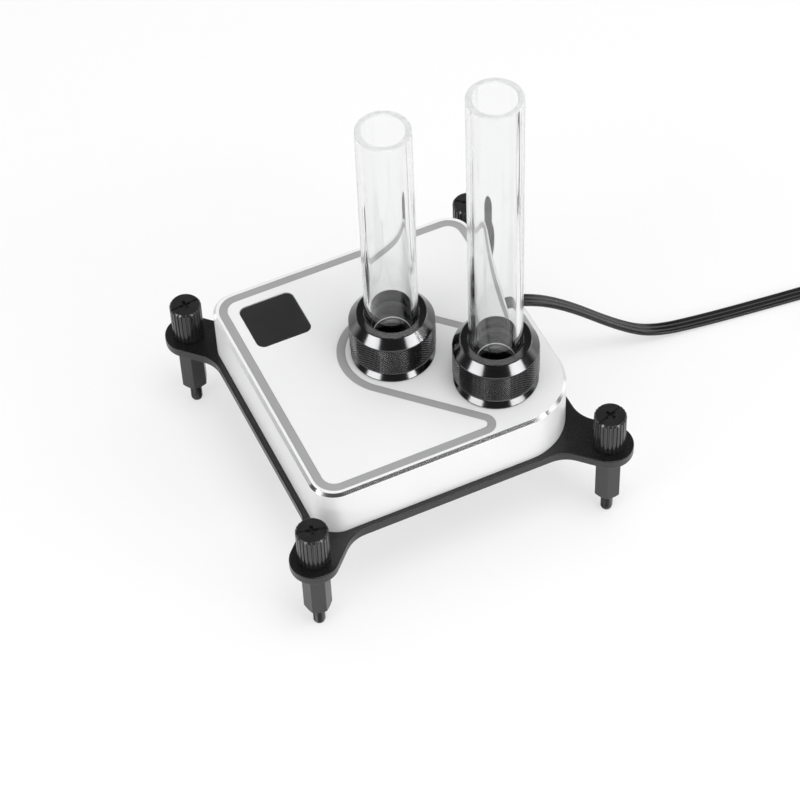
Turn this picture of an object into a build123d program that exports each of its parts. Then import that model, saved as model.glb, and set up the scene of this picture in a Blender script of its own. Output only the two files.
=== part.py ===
import os
from math import cos, isclose, pi, radians, sin, sqrt, tan

from build123d import *

os.makedirs("parts", exist_ok=True)

# Liquid cooling block for a processor, in millimetres, +Z up.
# The origin is on the floor under the centre of the four mounting screws.

# Mounting screws and standoffs
screw_margin = 4.0
stud_radius = 1.5
stud_length = 6.5
stud_chamfer = 0.4
standoff_flats = 5.5
standoff_length = 16.0
standoff_bore_depth = 9.0
standoff_chamfer = 0.35
thread_clearance = 0.05
screw_head_wall = 0.95
screw_head_height = 10.8
screw_head_chamfer = 0.4
screw_foot_chamfer = 0.5
screw_spring_pocket_depth = 7.0
screw_shank_length = 8.4
knurl_count = 24
knurl_width = 0.5
knurl_depth = 0.25
slot_width = 0.7
slot_depth = 0.7
cross_width = 1.2
cross_length = 4.4
cross_depth = 1.8

# Springs inside the screw heads
spring_wire_radius = 0.3
spring_inner_gap = 0.5
spring_outer_gap = 0.4
spring_turns = 4

# Bracket
bracket_lip = 1.5
bracket_thickness = 2.5
bracket_edge_chamfer = 0.3
ear_radius = 6.0
ear_fillet = 8.0
bracket_hole_clearance = 0.25
window_clearance = 0.3

# Cover
cover_height = 14.0
cover_wall = 1.4
cover_roof = 2.5
cover_corner_radius = 6.5
cover_outlet_corner_radius = 15.0
cover_edge_chamfer = 0.7
post_radius = 2.6
post_overlap = 0.4
post_gap = 1.0
cover_screw_radius = 1.25
cover_screw_hole_clearance = 0.15
cover_screw_length = 8.0
cover_screw_head_radius = 2.3
cover_screw_head_height = 1.05

# Light guide and its groove
stripe_width = 2.0
stripe_inset = 1.45
inlet_stripe_gap = 1.95
outlet_stripe_gap = 2.854
stripe_corner_radius = 4.3
stripe_tip_radius = 2.2
stripe_depth = 1.5
stripe_clearance = 0.05
rib_width = 1.2
rib_length = 26.0
rib_offset = 10.0

# Badge plate and its recess
badge_width = 14.2
badge_inset = 13.2
badge_corner_radius = 2.0
badge_thickness = 0.7
badge_depth = 0.8
badge_clearance = 0.1

# Ports and fittings
port_inset = 16.4
port_radius = 6.6
port_depth = 6.5
port_floor_gap = 1.0
duct_step = 0.5
boss_rim = 1.05
boss_clearance = 0.15
flange_overlap = 0.7
flange_height = 2.7
flange_chamfer = 1.2
barrel_wall = 2.35
barrel_rise = 2.5
seat_rise = 2.0
tube_clearance = 0.05
face_seal_margin = 1.4
seal_section_radius = 0.55
inner_seal_rise = 2.3
outer_seal_gap = 0.1
ring_inset = 0.5
ring_height = 1.5
collar_wall = 1.55
collar_gap = 0.05
collar_slope_height = 2.4
collar_lip = 1.9
collar_rim_width = 1.6
collar_mouth_gap = 0.4
collar_bore_clearance = 0.05
collar_foot_chamfer = 0.3

# Clear hard tubes
tube_radius = 6.5
tube_wall = 1.5
inlet_tube_length = 70.0
outlet_tube_length = 88.0
tube_edge_chamfer = 0.25

# Chamber body
flange_plate_lip = 1.8
flange_plate_height = 6.0
flange_plate_corner_radius = 12.0
flange_plate_outlet_radius = 17.0
light_channel_width = 4.4
tower_corner_radius = 7.0
tower_outlet_radius = 12.0
ledge_width = 0.8
pocket_inset = 2.5
pocket_depth = 4.5
pocket_corner_radius = 10.0
plenum_width = 5.0
plenum_height = 3.0
outlet_link_x_inset = 5.6
outlet_link_y_inset = 0.8
outlet_link_radius = 3.0
outlet_link_height = 6.0
outlet_floor = 6.0
gasket_inset = 5.0
gasket_corner_radius = 12.0
gasket_section_radius = 0.6
gasket_flat = 0.05
gasket_groove_width = 1.4

# Cold plate, fins and jet plate
plate_inset = 2.0
plate_thickness = 3.5
plate_corner_radius = 10.0
plate_edge_chamfer = 0.4
fin_count = 25
fin_pitch = 1.2
fin_thickness = 0.6
fin_length = 28.0
jet_plate_overhang = 1.3
jet_plate_thickness = 1.0
jet_slot_length = 26.0
jet_slot_width = 1.2
base_screw_corner_inset = 6.0
base_screw_side_inset = 2.6
base_screw_radius = 1.25
base_screw_length = 8.0
base_screw_head_radius = 2.2
base_screw_head_height = 1.6
base_screw_clearance = 0.1
base_screw_recess = 1.8
hex_key_width = 1.5
hex_key_depth = 0.9

# Lighting board, its header and its lead
board_thickness = 1.0
board_outer_gap = 0.3
board_inner_gap = 0.1
led_width = 2.0
led_height = 0.8
led_roof_gap = 0.2
led_inset = 1.3
led_corner_gap = 7.3
led_count = 4
header_wall_gap = 0.6
header_width = 8.0
header_height = 5.9
header_tower_gap = 0.4
header_edge_radius = 0.35
lead_width = 3.9
lead_thickness = 1.3
lead_exit_y = 9.4
notch_clearance = 0.3
lead_height = 30.2
lead_heading = -6.0
lead_floor_gap = 0.05
coil_turns = 3
coil_pitch = 1.5
coil_mean_radius = 22.0
coil_lift = 0.5
coil_distance = 108.0
coil_approach = 14.0
tail_radius = 12.0
tail_turn = 120.0
tie_length = 3.0
tie_thickness = 0.4
tie_gap = 0.05
connector_length = 11.0
connector_width = 8.2
connector_height = 4.0
connector_neck_length = 3.0
connector_neck_inset = 0.5
connector_pin_count = 3
connector_pin_pitch = 2.54
connector_pin_width = 0.9
connector_pin_depth = 6.0
connector_edge_chamfer = 0.3

# Screw heads, round their springs
screw_shank_radius = stud_radius - thread_clearance
spring_radius = stud_radius + spring_inner_gap + spring_wire_radius
screw_spring_pocket_radius = spring_radius + spring_wire_radius + spring_outer_gap
screw_head_radius = screw_spring_pocket_radius + screw_head_wall
bracket_hole_radius = stud_radius + bracket_hole_clearance

# Fittings, from the tube outwards and from the cover upwards
tube_bore_radius = tube_radius - tube_wall
duct_radius = tube_bore_radius - duct_step
barrel_bore = tube_radius + tube_clearance
barrel_radius = barrel_bore + barrel_wall
collar_bore = barrel_radius + collar_bore_clearance
collar_radius = collar_bore + collar_wall
collar_mouth_radius = tube_radius + collar_mouth_gap
collar_rim_radius = collar_mouth_radius + collar_rim_width
ring_radius = barrel_radius - ring_inset
inner_seal_radius = barrel_bore + seal_section_radius
outer_seal_radius = inner_seal_radius + outer_seal_gap
fitting_thread_radius = port_radius - thread_clearance
fitting_thread_length = port_depth - port_floor_gap
face_seal_radius = port_radius + face_seal_margin
boss_radius = face_seal_radius + seal_section_radius + boss_rim
boss_hole_radius = boss_radius + boss_clearance
flange_radius = boss_radius + flange_overlap
tube_seat = flange_height + seat_rise
inner_seal_height = tube_seat + inner_seal_rise
barrel_top = inner_seal_height + barrel_rise
ring_bottom = barrel_top + 2 * seal_section_radius
collar_shoulder = ring_bottom + ring_height
collar_top = collar_shoulder + collar_lip
collar_knurl_top = collar_top - collar_slope_height
groove_half = seal_section_radius + tube_clearance
groove_depth = 2 * seal_section_radius

# Widths, from the two ports outwards and then inwards again.
# The stripe runs between the ports, the outlet sets the cover's side, and the cover the screws.
stripe_band = boss_hole_radius + inlet_stripe_gap + stripe_width / 2
port_spacing = stripe_band + stripe_width / 2 + outlet_stripe_gap + boss_hole_radius
port_offset = port_spacing / sqrt(2)
cover_width = 2 * (port_offset + port_inset)
mount_pitch = cover_width + 2 * screw_margin
bracket_width = cover_width + 2 * bracket_lip
tower_width = cover_width - 2 * cover_wall - 2 * light_channel_width
flange_plate_width = tower_width + 2 * flange_plate_lip
plate_width = flange_plate_width - 2 * plate_inset
gasket_width = plate_width - 2 * gasket_inset
pocket_width = gasket_width - 2 * pocket_inset
base_screw_corner = plate_width / 2 - base_screw_corner_inset
base_screw_side = plate_width / 2 - base_screw_side_inset
badge_centre = cover_width / 2 - badge_inset
fin_span = (fin_count - 1) * fin_pitch + fin_thickness
jet_plate_length = fin_span + 2 * jet_plate_overhang
board_outer = cover_width - 2 * cover_wall - 2 * board_outer_gap
board_inner = tower_width - 2 * ledge_width + 2 * board_inner_gap
led_reach = board_outer / 2 - led_inset
led_pitch = (board_outer / 2 - led_corner_gap) / 2
header_depth = light_channel_width - header_tower_gap - header_wall_gap
header_centre = tower_width / 2 + header_tower_gap + header_depth / 2

# Levels, from the floor up
standoff_foot = stud_length
bracket_bottom = standoff_foot + standoff_length
bracket_top = bracket_bottom + bracket_thickness
cover_top = bracket_top + cover_height
roof_bottom = cover_top - cover_roof
flange_plate_bottom = bracket_bottom - flange_plate_height
plate_bottom = flange_plate_bottom - plate_thickness
pocket_roof = flange_plate_bottom + pocket_depth
jet_plate_bottom = pocket_roof - jet_plate_thickness
led_top = roof_bottom - led_roof_gap
board_top = led_top - led_height
board_bottom = board_top - board_thickness
base_screw_seat = plate_bottom + base_screw_recess
base_screw_tip = base_screw_seat - base_screw_head_height + base_screw_length
base_screw_grip = base_screw_tip - flange_plate_bottom

notch_top = lead_height + lead_thickness / 2 + notch_clearance


def post_place(corner_radius):
    """How far out a post stands, so that it runs into the wall of a corner of that radius."""
    inside_wall = corner_radius - cover_wall - post_radius + post_overlap
    return cover_width / 2 - corner_radius + inside_wall / sqrt(2)


# Places that several pieces share
screw_reach = mount_pitch / 2
inlet_place = (0, 0)
outlet_place = (port_offset, -port_offset)
outlet_link_place = (port_offset - outlet_link_x_inset, outlet_link_y_inset - port_offset)
stripe_centre = cover_width / 2 - stripe_inset - stripe_width / 2
post_height = board_bottom - bracket_top - post_gap
post_reach = post_place(cover_corner_radius)
outlet_post_reach = post_place(cover_outlet_corner_radius)
cover_screw_places = [
    (-post_reach, -post_reach),
    (-post_reach, post_reach),
    (post_reach, post_reach),
    (outlet_post_reach, -outlet_post_reach),
]
base_screw_places = [
    (base_screw_corner, base_screw_corner),
    (base_screw_corner, -base_screw_corner),
    (-base_screw_corner, base_screw_corner),
    (-base_screw_corner, -base_screw_corner),
    (base_screw_side, 0),
    (-base_screw_side, 0),
    (0, base_screw_side),
    (0, -base_screw_side),
]
screw_places = [
    (-screw_reach, -screw_reach),
    (screw_reach, -screw_reach),
    (screw_reach, screw_reach),
    (-screw_reach, screw_reach),
]
outlet_way = Axis((0, 0, 0), (1, -1, 0))


def rounded_square(width, corner_radius, outlet_radius):
    """A square whose corner beside the outlet is rounder than the other three."""
    with BuildSketch() as outline:
        Rectangle(width, width)
        fillet(outline.vertices().sort_by(outlet_way)[:3], corner_radius)
        fillet(outline.vertices().sort_by(outlet_way)[-1], outlet_radius)
    return outline.sketch


def stripe_loop(grow):
    """The area inside the stripe's middle line, widened by grow on every side."""
    side = stripe_centre + grow
    band = stripe_band - grow
    tip = side - band * sqrt(2)
    near = band / sqrt(2)
    with BuildSketch() as area:
        with BuildLine():
            Polyline(
                (-near, -near), (tip, -side), (-side, -side), (-side, side),
                (side, side), (side, -tip), (near, near),
            )
            ThreePointArc((near, near), (-near, near), (-near, -near))
        make_face()
        tips = area.vertices().filter_by(
            lambda v: isclose(abs(v.X), abs(tip), abs_tol=0.001)
            or isclose(abs(v.Y), abs(tip), abs_tol=0.001)
        )
        fillet(tips, stripe_tip_radius + grow)
        corners = area.vertices().filter_by(
            lambda v: isclose(abs(v.X), side, abs_tol=0.001)
            and isclose(abs(v.Y), side, abs_tol=0.001)
        )
        fillet(corners, stripe_corner_radius + grow)
    return area.sketch


def stripe_band_area(clearance):
    """The stripe seen from above, with a clearance on both sides."""
    half = stripe_width / 2 + clearance
    return stripe_loop(half) - stripe_loop(-half)


def rib_areas(clearance):
    """The four straight bars under the stripe that take up the light."""
    long_side = rib_length + 2 * clearance
    wide_side = rib_width + 2 * clearance
    with BuildSketch() as bars:
        with Locations((-rib_offset, -stripe_centre), (rib_offset, stripe_centre)):
            Rectangle(long_side, wide_side)
        with Locations((-stripe_centre, -rib_offset), (stripe_centre, rib_offset)):
            Rectangle(wide_side, long_side)
    return bars.sketch


# Cover: a white shell with a groove for the stripe, a badge recess and two port holes
with BuildPart() as cover:
    with BuildSketch(Plane.XY.offset(bracket_top)):
        add(rounded_square(cover_width, cover_corner_radius, cover_outlet_corner_radius))
    extrude(amount=cover_height)
    chamfer(cover.faces().sort_by(Axis.Z)[-1].edges(), cover_edge_chamfer)
    with BuildSketch(Plane.XY.offset(bracket_top)):
        add(
            rounded_square(
                cover_width - 2 * cover_wall,
                cover_corner_radius - cover_wall,
                cover_outlet_corner_radius - cover_wall,
            )
        )
    extrude(amount=cover_height - cover_roof, mode=Mode.SUBTRACT)
    with BuildSketch(Plane.XY.offset(bracket_top)) as post_sketch:
        add(rounded_square(cover_width, cover_corner_radius, cover_outlet_corner_radius))
        with BuildSketch(mode=Mode.INTERSECT):
            with Locations(*cover_screw_places):
                Circle(post_radius)
    extrude(amount=post_height)
    with BuildSketch(Plane.XY.offset(bracket_top)):
        with Locations(*cover_screw_places):
            Circle(cover_screw_radius)
    extrude(amount=cover_screw_length - bracket_thickness, mode=Mode.SUBTRACT)
    with BuildSketch(Plane.XY.offset(cover_top)):
        add(stripe_band_area(stripe_clearance))
    extrude(amount=-stripe_depth, mode=Mode.SUBTRACT)
    with BuildSketch(Plane.XY.offset(cover_top)):
        add(rib_areas(stripe_clearance))
    extrude(amount=-cover_roof, mode=Mode.SUBTRACT)
    with BuildSketch(Plane.XY.offset(cover_top)):
        with Locations((-badge_centre, badge_centre)):
            RectangleRounded(
                badge_width + 2 * badge_clearance,
                badge_width + 2 * badge_clearance,
                badge_corner_radius + badge_clearance,
            )
    extrude(amount=-badge_depth, mode=Mode.SUBTRACT)
    with BuildSketch(Plane.XY.offset(cover_top)):
        with Locations(inlet_place, outlet_place):
            Circle(boss_hole_radius)
    extrude(amount=-cover_roof, mode=Mode.SUBTRACT)
    with BuildSketch(Plane.XY.offset(bracket_top)):
        with Locations(((cover_width - cover_wall) / 2, lead_exit_y)):
            Rectangle(2 * cover_wall, lead_width + 2 * notch_clearance)
    extrude(amount=notch_top - bracket_top, mode=Mode.SUBTRACT)
cover.part.label = "cover"
export_step(cover.part, "parts/cover.step")

# Light guide: one closed loop with bars that reach down to the lights
with BuildPart() as light_guide:
    with BuildSketch(Plane.XY.offset(cover_top)):
        add(stripe_band_area(0))
    extrude(amount=-stripe_depth)
    with BuildSketch(Plane.XY.offset(cover_top - stripe_depth)):
        add(rib_areas(0))
    extrude(amount=stripe_depth - cover_roof)
light_guide.part.label = "light_guide"
export_step(light_guide.part, "parts/light_guide.step")

# Badge plate: bare, set just below the cover's face
with BuildPart() as badge_plate:
    with BuildSketch(Plane.XY.offset(cover_top - badge_depth)):
        with Locations((-badge_centre, badge_centre)):
            RectangleRounded(badge_width, badge_width, badge_corner_radius)
    extrude(amount=badge_thickness)
badge_plate.part.label = "badge_plate"
export_step(badge_plate.part, "parts/badge_plate.step")

# Bracket: a flat frame with four ears, clamped between the cover and the chamber
with BuildPart() as bracket:
    with BuildSketch(Plane.XY.offset(bracket_bottom)) as bracket_outline:
        Rectangle(bracket_width, bracket_width)
        with Locations(*screw_places):
            Circle(ear_radius)
        for turn in (45, 135):
            with Locations(Rot(0, 0, turn)):
                Rectangle(2 * screw_reach * sqrt(2), 2 * ear_radius)
        necks = bracket_outline.vertices().filter_by(
            lambda v: isclose(max(abs(v.X), abs(v.Y)), bracket_width / 2, abs_tol=0.001)
        )
        fillet(necks, ear_fillet)
    extrude(amount=bracket_thickness)
    chamfer(bracket.faces().sort_by(Axis.Z)[-1].edges(), bracket_edge_chamfer)
    chamfer(bracket.faces().sort_by(Axis.Z)[0].edges(), bracket_edge_chamfer)
    with BuildSketch(Plane.XY.offset(bracket_bottom)):
        add(
            rounded_square(
                tower_width + 2 * window_clearance,
                tower_corner_radius + window_clearance,
                tower_outlet_radius + window_clearance,
            )
        )
        with Locations(*screw_places):
            Circle(bracket_hole_radius)
        with Locations(*cover_screw_places):
            Circle(cover_screw_radius + cover_screw_hole_clearance)
    extrude(amount=bracket_thickness, mode=Mode.SUBTRACT)
    with BuildSketch(Plane.XY.offset(bracket_bottom)):
        with Locations(*cover_screw_places):
            Circle(cover_screw_head_radius + cover_screw_hole_clearance)
    extrude(amount=cover_screw_head_height + cover_screw_hole_clearance, taper=45, mode=Mode.SUBTRACT)
bracket.part.label = "bracket"
export_step(bracket.part, "parts/bracket.step")

# Cover screws: four countersunk screws from under the bracket into the cover's posts
with BuildPart() as cover_screws:
    with BuildSketch(Plane.XY.offset(bracket_bottom)):
        with Locations(*cover_screw_places):
            Circle(cover_screw_head_radius)
    extrude(amount=cover_screw_head_height, taper=45)
    with BuildSketch(Plane.XY.offset(bracket_bottom)):
        with Locations(*cover_screw_places):
            Circle(cover_screw_radius - thread_clearance)
    extrude(amount=cover_screw_length)
    with BuildSketch(Plane.XY.offset(bracket_bottom)):
        with Locations(*cover_screw_places):
            RegularPolygon(hex_key_width / 2, 6)
    extrude(amount=hex_key_depth, mode=Mode.SUBTRACT)
cover_screws.part.label = "cover_screws"
export_step(cover_screws.part, "parts/cover_screws.step")

# Chamber body: a flange under the bracket and a tower through it, with two ports on top
with BuildPart() as chamber_body:
    with BuildSketch(Plane.XY.offset(flange_plate_bottom)):
        add(rounded_square(flange_plate_width, flange_plate_corner_radius, flange_plate_outlet_radius))
    extrude(amount=flange_plate_height)
    with BuildSketch(Plane.XY.offset(bracket_bottom)):
        add(rounded_square(tower_width, tower_corner_radius, tower_outlet_radius))
    extrude(amount=board_bottom - bracket_bottom)
    with BuildSketch(Plane.XY.offset(board_bottom)):
        add(
            rounded_square(
                tower_width - 2 * ledge_width,
                tower_corner_radius - ledge_width,
                tower_outlet_radius - ledge_width,
            )
        )
    extrude(amount=roof_bottom - board_bottom)
    with BuildSketch(Plane.XY.offset(roof_bottom)):
        with Locations(inlet_place, outlet_place):
            Circle(boss_radius)
    extrude(amount=cover_roof)
    with BuildSketch(Plane.XY.offset(cover_top)):
        with Locations(inlet_place, outlet_place):
            Circle(port_radius)
    extrude(amount=-port_depth, mode=Mode.SUBTRACT)
    with BuildSketch(Plane.XY.offset(flange_plate_bottom)):
        RectangleRounded(pocket_width, pocket_width, pocket_corner_radius)
    extrude(amount=pocket_depth, mode=Mode.SUBTRACT)
    with BuildSketch(Plane.XY.offset(pocket_roof)):
        SlotOverall(jet_slot_length, plenum_width)
    extrude(amount=plenum_height, mode=Mode.SUBTRACT)
    with BuildSketch(Plane.XY.offset(pocket_roof)):
        with Locations(inlet_place):
            Circle(duct_radius)
    extrude(amount=cover_top - port_depth - pocket_roof, mode=Mode.SUBTRACT)
    with BuildSketch(Plane.XY.offset(flange_plate_bottom + outlet_floor)):
        with Locations(outlet_place):
            Circle(duct_radius)
    extrude(amount=cover_top - port_depth - flange_plate_bottom - outlet_floor, mode=Mode.SUBTRACT)
    with BuildSketch(Plane.XY.offset(pocket_roof)):
        with Locations(outlet_link_place):
            Circle(outlet_link_radius)
    extrude(amount=outlet_link_height, mode=Mode.SUBTRACT)
    with BuildSketch(Plane.XY.offset(flange_plate_bottom)):
        RectangleRounded(
            gasket_width + gasket_groove_width,
            gasket_width + gasket_groove_width,
            gasket_corner_radius + gasket_groove_width / 2,
        )
        RectangleRounded(
            gasket_width - gasket_groove_width,
            gasket_width - gasket_groove_width,
            gasket_corner_radius - gasket_groove_width / 2,
            mode=Mode.SUBTRACT,
        )
    extrude(amount=2 * gasket_section_radius, mode=Mode.SUBTRACT)
    with BuildSketch(Plane.XY.offset(flange_plate_bottom)):
        with Locations(*base_screw_places):
            Circle(base_screw_radius)
    extrude(amount=base_screw_grip, mode=Mode.SUBTRACT)
chamber_body.part.label = "chamber_body"
export_step(chamber_body.part, "parts/chamber_body.step")

# Base gasket: a round cord seal in the chamber's groove, pressed slightly flat
with BuildPart() as base_gasket:
    with BuildSketch(Plane.XY.offset(flange_plate_bottom)):
        RectangleRounded(
            gasket_width + 2 * gasket_section_radius,
            gasket_width + 2 * gasket_section_radius,
            gasket_corner_radius + gasket_section_radius,
        )
        RectangleRounded(
            gasket_width - 2 * gasket_section_radius,
            gasket_width - 2 * gasket_section_radius,
            gasket_corner_radius - gasket_section_radius,
            mode=Mode.SUBTRACT,
        )
    extrude(amount=2 * gasket_section_radius)
    gasket_faces = base_gasket.faces().filter_by(Axis.Z)
    fillet(gasket_faces.edges(), gasket_section_radius - gasket_flat)
base_gasket.part.label = "base_gasket"
export_step(base_gasket.part, "parts/base_gasket.step")

# Cold plate: a nickel-plated base with thin fins on its water side
with BuildPart() as cold_plate:
    with BuildSketch(Plane.XY.offset(plate_bottom)):
        RectangleRounded(plate_width, plate_width, plate_corner_radius)
    extrude(amount=plate_thickness)
    chamfer(cold_plate.faces().sort_by(Axis.Z)[0].edges(), plate_edge_chamfer)
    with BuildSketch(Plane.XY.offset(flange_plate_bottom)):
        with GridLocations(fin_pitch, 0, fin_count, 1):
            Rectangle(fin_thickness, fin_length)
    extrude(amount=jet_plate_bottom - flange_plate_bottom)
    with BuildSketch(Plane.XY.offset(plate_bottom)):
        with Locations(*base_screw_places):
            Circle(base_screw_radius + base_screw_clearance)
    extrude(amount=plate_thickness, mode=Mode.SUBTRACT)
    with BuildSketch(Plane.XY.offset(plate_bottom)):
        with Locations(*base_screw_places):
            Circle(base_screw_head_radius + base_screw_clearance)
    extrude(amount=base_screw_recess, mode=Mode.SUBTRACT)
cold_plate.part.label = "cold_plate"
export_step(cold_plate.part, "parts/cold_plate.step")

# Jet plate: sits on the fins and lets the water in through one slot
with BuildPart() as jet_plate:
    with BuildSketch(Plane.XY.offset(jet_plate_bottom)):
        Rectangle(jet_plate_length, fin_length)
        SlotOverall(jet_slot_length, jet_slot_width, mode=Mode.SUBTRACT)
    extrude(amount=jet_plate_thickness)
jet_plate.part.label = "jet_plate"
export_step(jet_plate.part, "parts/jet_plate.step")

# Base screws: eight socket screws that hold the cold plate to the chamber
with BuildPart() as base_screws:
    with BuildSketch(Plane.XY.offset(base_screw_seat)):
        with Locations(*base_screw_places):
            Circle(base_screw_head_radius)
    extrude(amount=-base_screw_head_height)
    with BuildSketch(Plane.XY.offset(base_screw_seat)):
        with Locations(*base_screw_places):
            Circle(base_screw_radius - thread_clearance)
    extrude(amount=base_screw_length - base_screw_head_height)
    with BuildSketch(Plane.XY.offset(base_screw_seat - base_screw_head_height)):
        with Locations(*base_screw_places):
            RegularPolygon(hex_key_width / 2, 6)
    extrude(amount=hex_key_depth, mode=Mode.SUBTRACT)
base_screws.part.label = "base_screws"
export_step(base_screws.part, "parts/base_screws.step")

# Lighting board: a narrow ring on the tower's ledge, under the stripe
with BuildPart() as led_board:
    with BuildSketch(Plane.XY.offset(board_bottom)):
        add(
            rounded_square(
                board_outer,
                cover_corner_radius - cover_wall - board_outer_gap,
                cover_outlet_corner_radius - cover_wall - board_outer_gap,
            )
        )
        add(
            rounded_square(
                board_inner,
                tower_corner_radius - ledge_width + board_inner_gap,
                tower_outlet_radius - ledge_width + board_inner_gap,
            ),
            mode=Mode.SUBTRACT,
        )
    extrude(amount=board_thickness)
led_board.part.label = "led_board"
export_step(led_board.part, "parts/led_board.step")

# Lights: small square lamps under the stripe, four on each side
with BuildPart() as leds:
    with BuildSketch(Plane.XY.offset(board_top)):
        for side in (-1, 1):
            with Locations((side * led_pitch / 2, side * led_reach)):
                with GridLocations(led_pitch, 0, led_count, 1):
                    Rectangle(led_width, led_width)
            with Locations((side * led_reach, side * led_pitch / 2)):
                with GridLocations(0, led_pitch, 1, led_count):
                    Rectangle(led_width, led_width)
    extrude(amount=led_height)
leds.part.label = "leds"
export_step(leds.part, "parts/leds.step")

# Header: the small socket under the board that the lead plugs into
with BuildPart() as led_header:
    with BuildSketch(Plane.XY.offset(board_bottom)):
        with Locations((header_centre, lead_exit_y)):
            Rectangle(header_depth, header_width)
    extrude(amount=-header_height)
    fillet(led_header.edges().filter_by(Axis.Y).group_by(Axis.Z)[0], header_edge_radius)
led_header.part.label = "led_header"
export_step(led_header.part, "parts/led_header.step")

# Standoffs: four hexagonal spacers with a threaded stud below and a threaded hole above
with BuildPart() as standoffs:
    with BuildSketch(Plane.XY.offset(standoff_foot)):
        with Locations(*screw_places):
            RegularPolygon(standoff_flats / 2, 6, major_radius=False)
    extrude(amount=standoff_length)
    chamfer(standoffs.faces().filter_by(Axis.Z).sort_by(Axis.Z)[:4].edges(), standoff_chamfer)
    with BuildSketch(Plane.XY):
        with Locations(*screw_places):
            Circle(stud_radius)
    extrude(amount=stud_length)
    chamfer(standoffs.faces().filter_by(Axis.Z).sort_by(Axis.Z)[:4].edges(), stud_chamfer)
    with BuildSketch(Plane.XY.offset(bracket_bottom)):
        with Locations(*screw_places):
            Circle(stud_radius)
    extrude(amount=-standoff_bore_depth, mode=Mode.SUBTRACT)
standoffs.part.label = "standoffs"
export_step(standoffs.part, "parts/standoffs.step")

# Thumb screws: a straight-knurled head, hollow underneath for its spring, on a plain shank
screw_head_top = bracket_top + screw_head_height
for number, (x, y) in enumerate(screw_places, start=1):
    with BuildPart() as thumb_screw:
        with BuildSketch(Plane.XY.offset(bracket_top)):
            with Locations((x, y)):
                Circle(screw_head_radius)
        extrude(amount=screw_head_height)
        chamfer(thumb_screw.faces().sort_by(Axis.Z)[-1].edges(), screw_head_chamfer)
        chamfer(thumb_screw.faces().sort_by(Axis.Z)[0].edges(), screw_foot_chamfer)
        with BuildSketch(Plane.XY.offset(bracket_top)):
            with Locations((x, y)):
                with PolarLocations(screw_head_radius, knurl_count):
                    Rectangle(2 * knurl_depth, knurl_width)
        extrude(amount=screw_head_height, mode=Mode.SUBTRACT)
        with BuildSketch(Plane.XY.offset(screw_head_top)):
            with Locations((x, y)):
                Rectangle(2 * screw_head_radius, slot_width)
        extrude(amount=-slot_depth, mode=Mode.SUBTRACT)
        with BuildSketch(Plane.XY.offset(screw_head_top)):
            with Locations((x, y)):
                Rectangle(cross_length, cross_width)
                Rectangle(cross_width, cross_length)
        extrude(amount=-cross_depth, mode=Mode.SUBTRACT)
        with BuildSketch(Plane.XY.offset(bracket_top)):
            with Locations((x, y)):
                Circle(screw_spring_pocket_radius)
        extrude(amount=screw_spring_pocket_depth, mode=Mode.SUBTRACT)
        with BuildSketch(Plane.XY.offset(bracket_top - screw_shank_length)):
            with Locations((x, y)):
                Circle(screw_shank_radius)
        extrude(amount=screw_shank_length + screw_spring_pocket_depth)
        chamfer(thumb_screw.faces().sort_by(Axis.Z)[0].edges(), stud_chamfer)
    thumb_screw.part.label = f"thumb_screw_{number}"
    export_step(thumb_screw.part, f"parts/thumb_screw_{number}.step")

# Springs: one in each head, round the shank, standing on the bracket
spring_height = screw_spring_pocket_depth - 2 * spring_wire_radius
for number, (x, y) in enumerate(screw_places, start=1):
    with BuildPart() as thumb_spring:
        with BuildLine(Plane(origin=(x, y, bracket_top + spring_wire_radius))) as coil:
            Helix(spring_height / spring_turns, spring_height, spring_radius)
        with BuildSketch(Plane(origin=coil.line @ 0, z_dir=coil.line % 0)):
            Circle(spring_wire_radius)
        sweep(path=coil.line, is_frenet=True)
    thumb_spring.part.label = f"thumb_spring_{number}"
    export_step(thumb_spring.part, f"parts/thumb_spring_{number}.step")

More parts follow.
